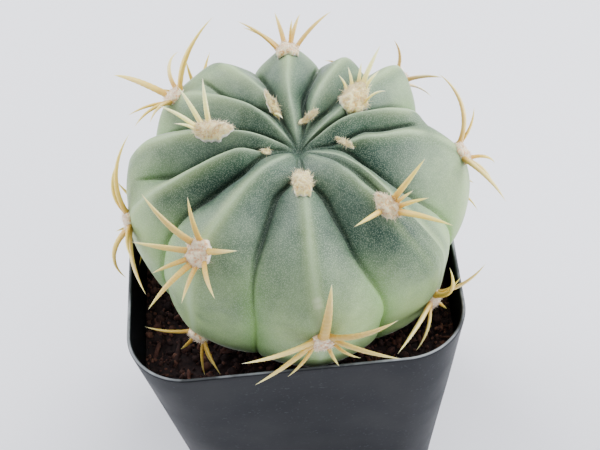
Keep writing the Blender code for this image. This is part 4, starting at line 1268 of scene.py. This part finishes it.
def pot_plastic():
    """Injection-moulded recycled polypropylene: near black, smooth, with a soft sheen.

    Its thin lip is pale, partly rubbed and partly a painted highlight, and dust and small
    scuffs lie on its outside.
    """
    material, tree, shader = new_material("moulded_polypropylene")
    place = add_node(tree, "ShaderNodeTexCoord").outputs["Object"]
    rim = add_node(tree, "ShaderNodeAttribute", attribute_name="rim").outputs["Fac"]
    clouds = add_node(tree, "ShaderNodeTexNoise", {"Vector": place, "Scale": 1.0 / (16.0 * MM),
                                                   "Detail": 4.0}).outputs["Fac"]
    specks = add_node(tree, "ShaderNodeTexNoise", {"Vector": place, "Scale": 1.0 / (0.9 * MM),
                                                   "Detail": 3.0}).outputs["Fac"]
    dust = add_node(tree, "ShaderNodeMapRange", {
        "Value": specks, "From Min": 0.60, "From Max": 0.78, "To Min": 0.0,
        "To Max": 0.16}).outputs[0]
    dusty = add_node(tree, "ShaderNodeMapRange", {
        "Value": clouds, "From Min": 0.35, "From Max": 0.65, "To Min": 0.2,
        "To Max": 1.0}).outputs[0]
    dust = add_node(tree, "ShaderNodeMath", {0: dust, 1: dusty}, operation="MULTIPLY").outputs[0]
    colour = add_node(tree, "ShaderNodeMix", {0: dusty, 6: linear("#0a0c10"),
                                              7: linear("#101318")}, data_type="RGBA").outputs[2]
    colour = add_node(tree, "ShaderNodeMix", {0: dust, 6: colour, 7: linear("#7a7d84")},
                      data_type="RGBA").outputs[2]
    # The lip's pale band: partly wear and partly a painted highlight.
    lip_wear_and_highlight = add_node(tree, "ShaderNodeMapRange", {
        "Value": clouds, "From Min": 0.42, "From Max": 0.60, "To Min": 0.12,
        "To Max": 0.80}).outputs[0]
    lip_wear_and_highlight = add_node(tree, "ShaderNodeMath", {0: lip_wear_and_highlight, 1: rim}, operation="MULTIPLY").outputs[0]
    colour = add_node(tree, "ShaderNodeMix", {0: lip_wear_and_highlight, 6: colour, 7: linear("#a6aab0")},
                      data_type="RGBA").outputs[2]
    rough = add_node(tree, "ShaderNodeMapRange", {
        "Value": clouds, "From Min": 0.3, "From Max": 0.7, "To Min": 0.42,
        "To Max": 0.56}).outputs[0]
    bump = add_node(tree, "ShaderNodeBump", {"Height": specks, "Strength": 0.12,
                                             "Distance": 0.08 * MM})
    tree.links.new(colour, shader.inputs["Base Color"])
    tree.links.new(rough, shader.inputs["Roughness"])
    tree.links.new(bump.outputs[0], shader.inputs["Normal"])
    shader.inputs["IOR"].default_value = 1.49
    shader.inputs["Specular IOR Level"].default_value = 0.15
    return material


# Studio

def make_floor():
    """A plain, pale, matt table top that reaches past the picture on all sides."""
    material, _, shader = new_material("painted_table")
    shader.inputs["Base Color"].default_value = linear("#ebecf4")
    shader.inputs["Roughness"].default_value = 0.6
    bpy.ops.mesh.primitive_plane_add(size=6.0, location=(0.0, 0.0, -0.0002))
    floor = bpy.context.object
    floor.name = "table_top"
    floor.data.materials.append(material)


def make_light(name, place, size, power):
    """A soft, square, white area light at place, turned to the plant."""
    light = bpy.data.lights.new(name, "AREA")
    light.size = size
    light.energy = power
    lamp = bpy.data.objects.new(name, light)
    bpy.context.scene.collection.objects.link(lamp)
    lamp.location = place
    way = np.array(place) - np.array(LIGHT_TARGET)
    lamp.rotation_euler = (math.atan2(math.hypot(way[0], way[1]), way[2]), 0.0,
                           math.atan2(way[1], way[0]) + math.pi / 2.0)


def make_studio():
    """Cool daylight from all round, and soft lights above, beside, in front and behind."""
    world = bpy.data.worlds.new("soft_daylight")
    world.use_nodes = True
    world.node_tree.nodes["Background"].inputs["Color"].default_value = (0.86, 0.90, 1.0, 1.0)
    world.node_tree.nodes["Background"].inputs["Strength"].default_value = 0.50
    bpy.context.scene.world = world
    for light in LIGHTS:
        make_light(*light)
    make_floor()


def make_camera():
    """The camera, placed so that the middle of the pot's rim falls on its pixel."""
    turn, rise, roll = (math.radians(angle)
                        for angle in (CAMERA_AZIMUTH, CAMERA_ELEVATION, CAMERA_ROLL))
    back = np.array((math.sin(turn) * math.cos(rise), -math.cos(turn) * math.cos(rise),
                     math.sin(rise)))
    right = np.array((math.cos(turn), math.sin(turn), 0.0))
    up = np.cross(back, right)
    rows = np.stack((math.cos(roll) * right + math.sin(roll) * up,
                     -math.sin(roll) * right + math.cos(roll) * up, back))
    distance = CAMERA_DISTANCE * MM
    seen = np.array(((RIM_MIDDLE_PIXEL[0] - IMAGE_WIDTH / 2) / FOCAL_PIXELS * distance,
                     (IMAGE_HEIGHT / 2 - RIM_MIDDLE_PIXEL[1]) / FOCAL_PIXELS * distance,
                     -distance))
    placed = np.eye(4)
    placed[:3, :3] = rows.T
    placed[:3, 3] = np.array((0.0, 0.0, POT_HEIGHT * MM)) - rows.T @ seen
    lens = bpy.data.cameras.new("photo_view")
    lens.sensor_width = SENSOR_WIDTH
    lens.lens = SENSOR_WIDTH * FOCAL_PIXELS / IMAGE_WIDTH
    lens.clip_start = 0.01
    camera = bpy.data.objects.new("photo_view", lens)
    bpy.context.scene.collection.objects.link(camera)
    camera.matrix_world = Matrix(placed.tolist())
    bpy.context.scene.camera = camera


make_camera()
make_studio()
make_pot(pot_plastic())
crumbs = potting_crumbs()
make_piece("mix_bed", mix_shape(), crumbs, "potting_grit", "potting_mix")
make_piece("mix_crumbs", grit_shape(), crumbs, "potting_grit", "potting_mix")
make_piece("stem_skin", skin_shape(), cactus_skin(), "cactus_skin", "cactus_body")
make_areoles(areole_felt(), spine_horn())
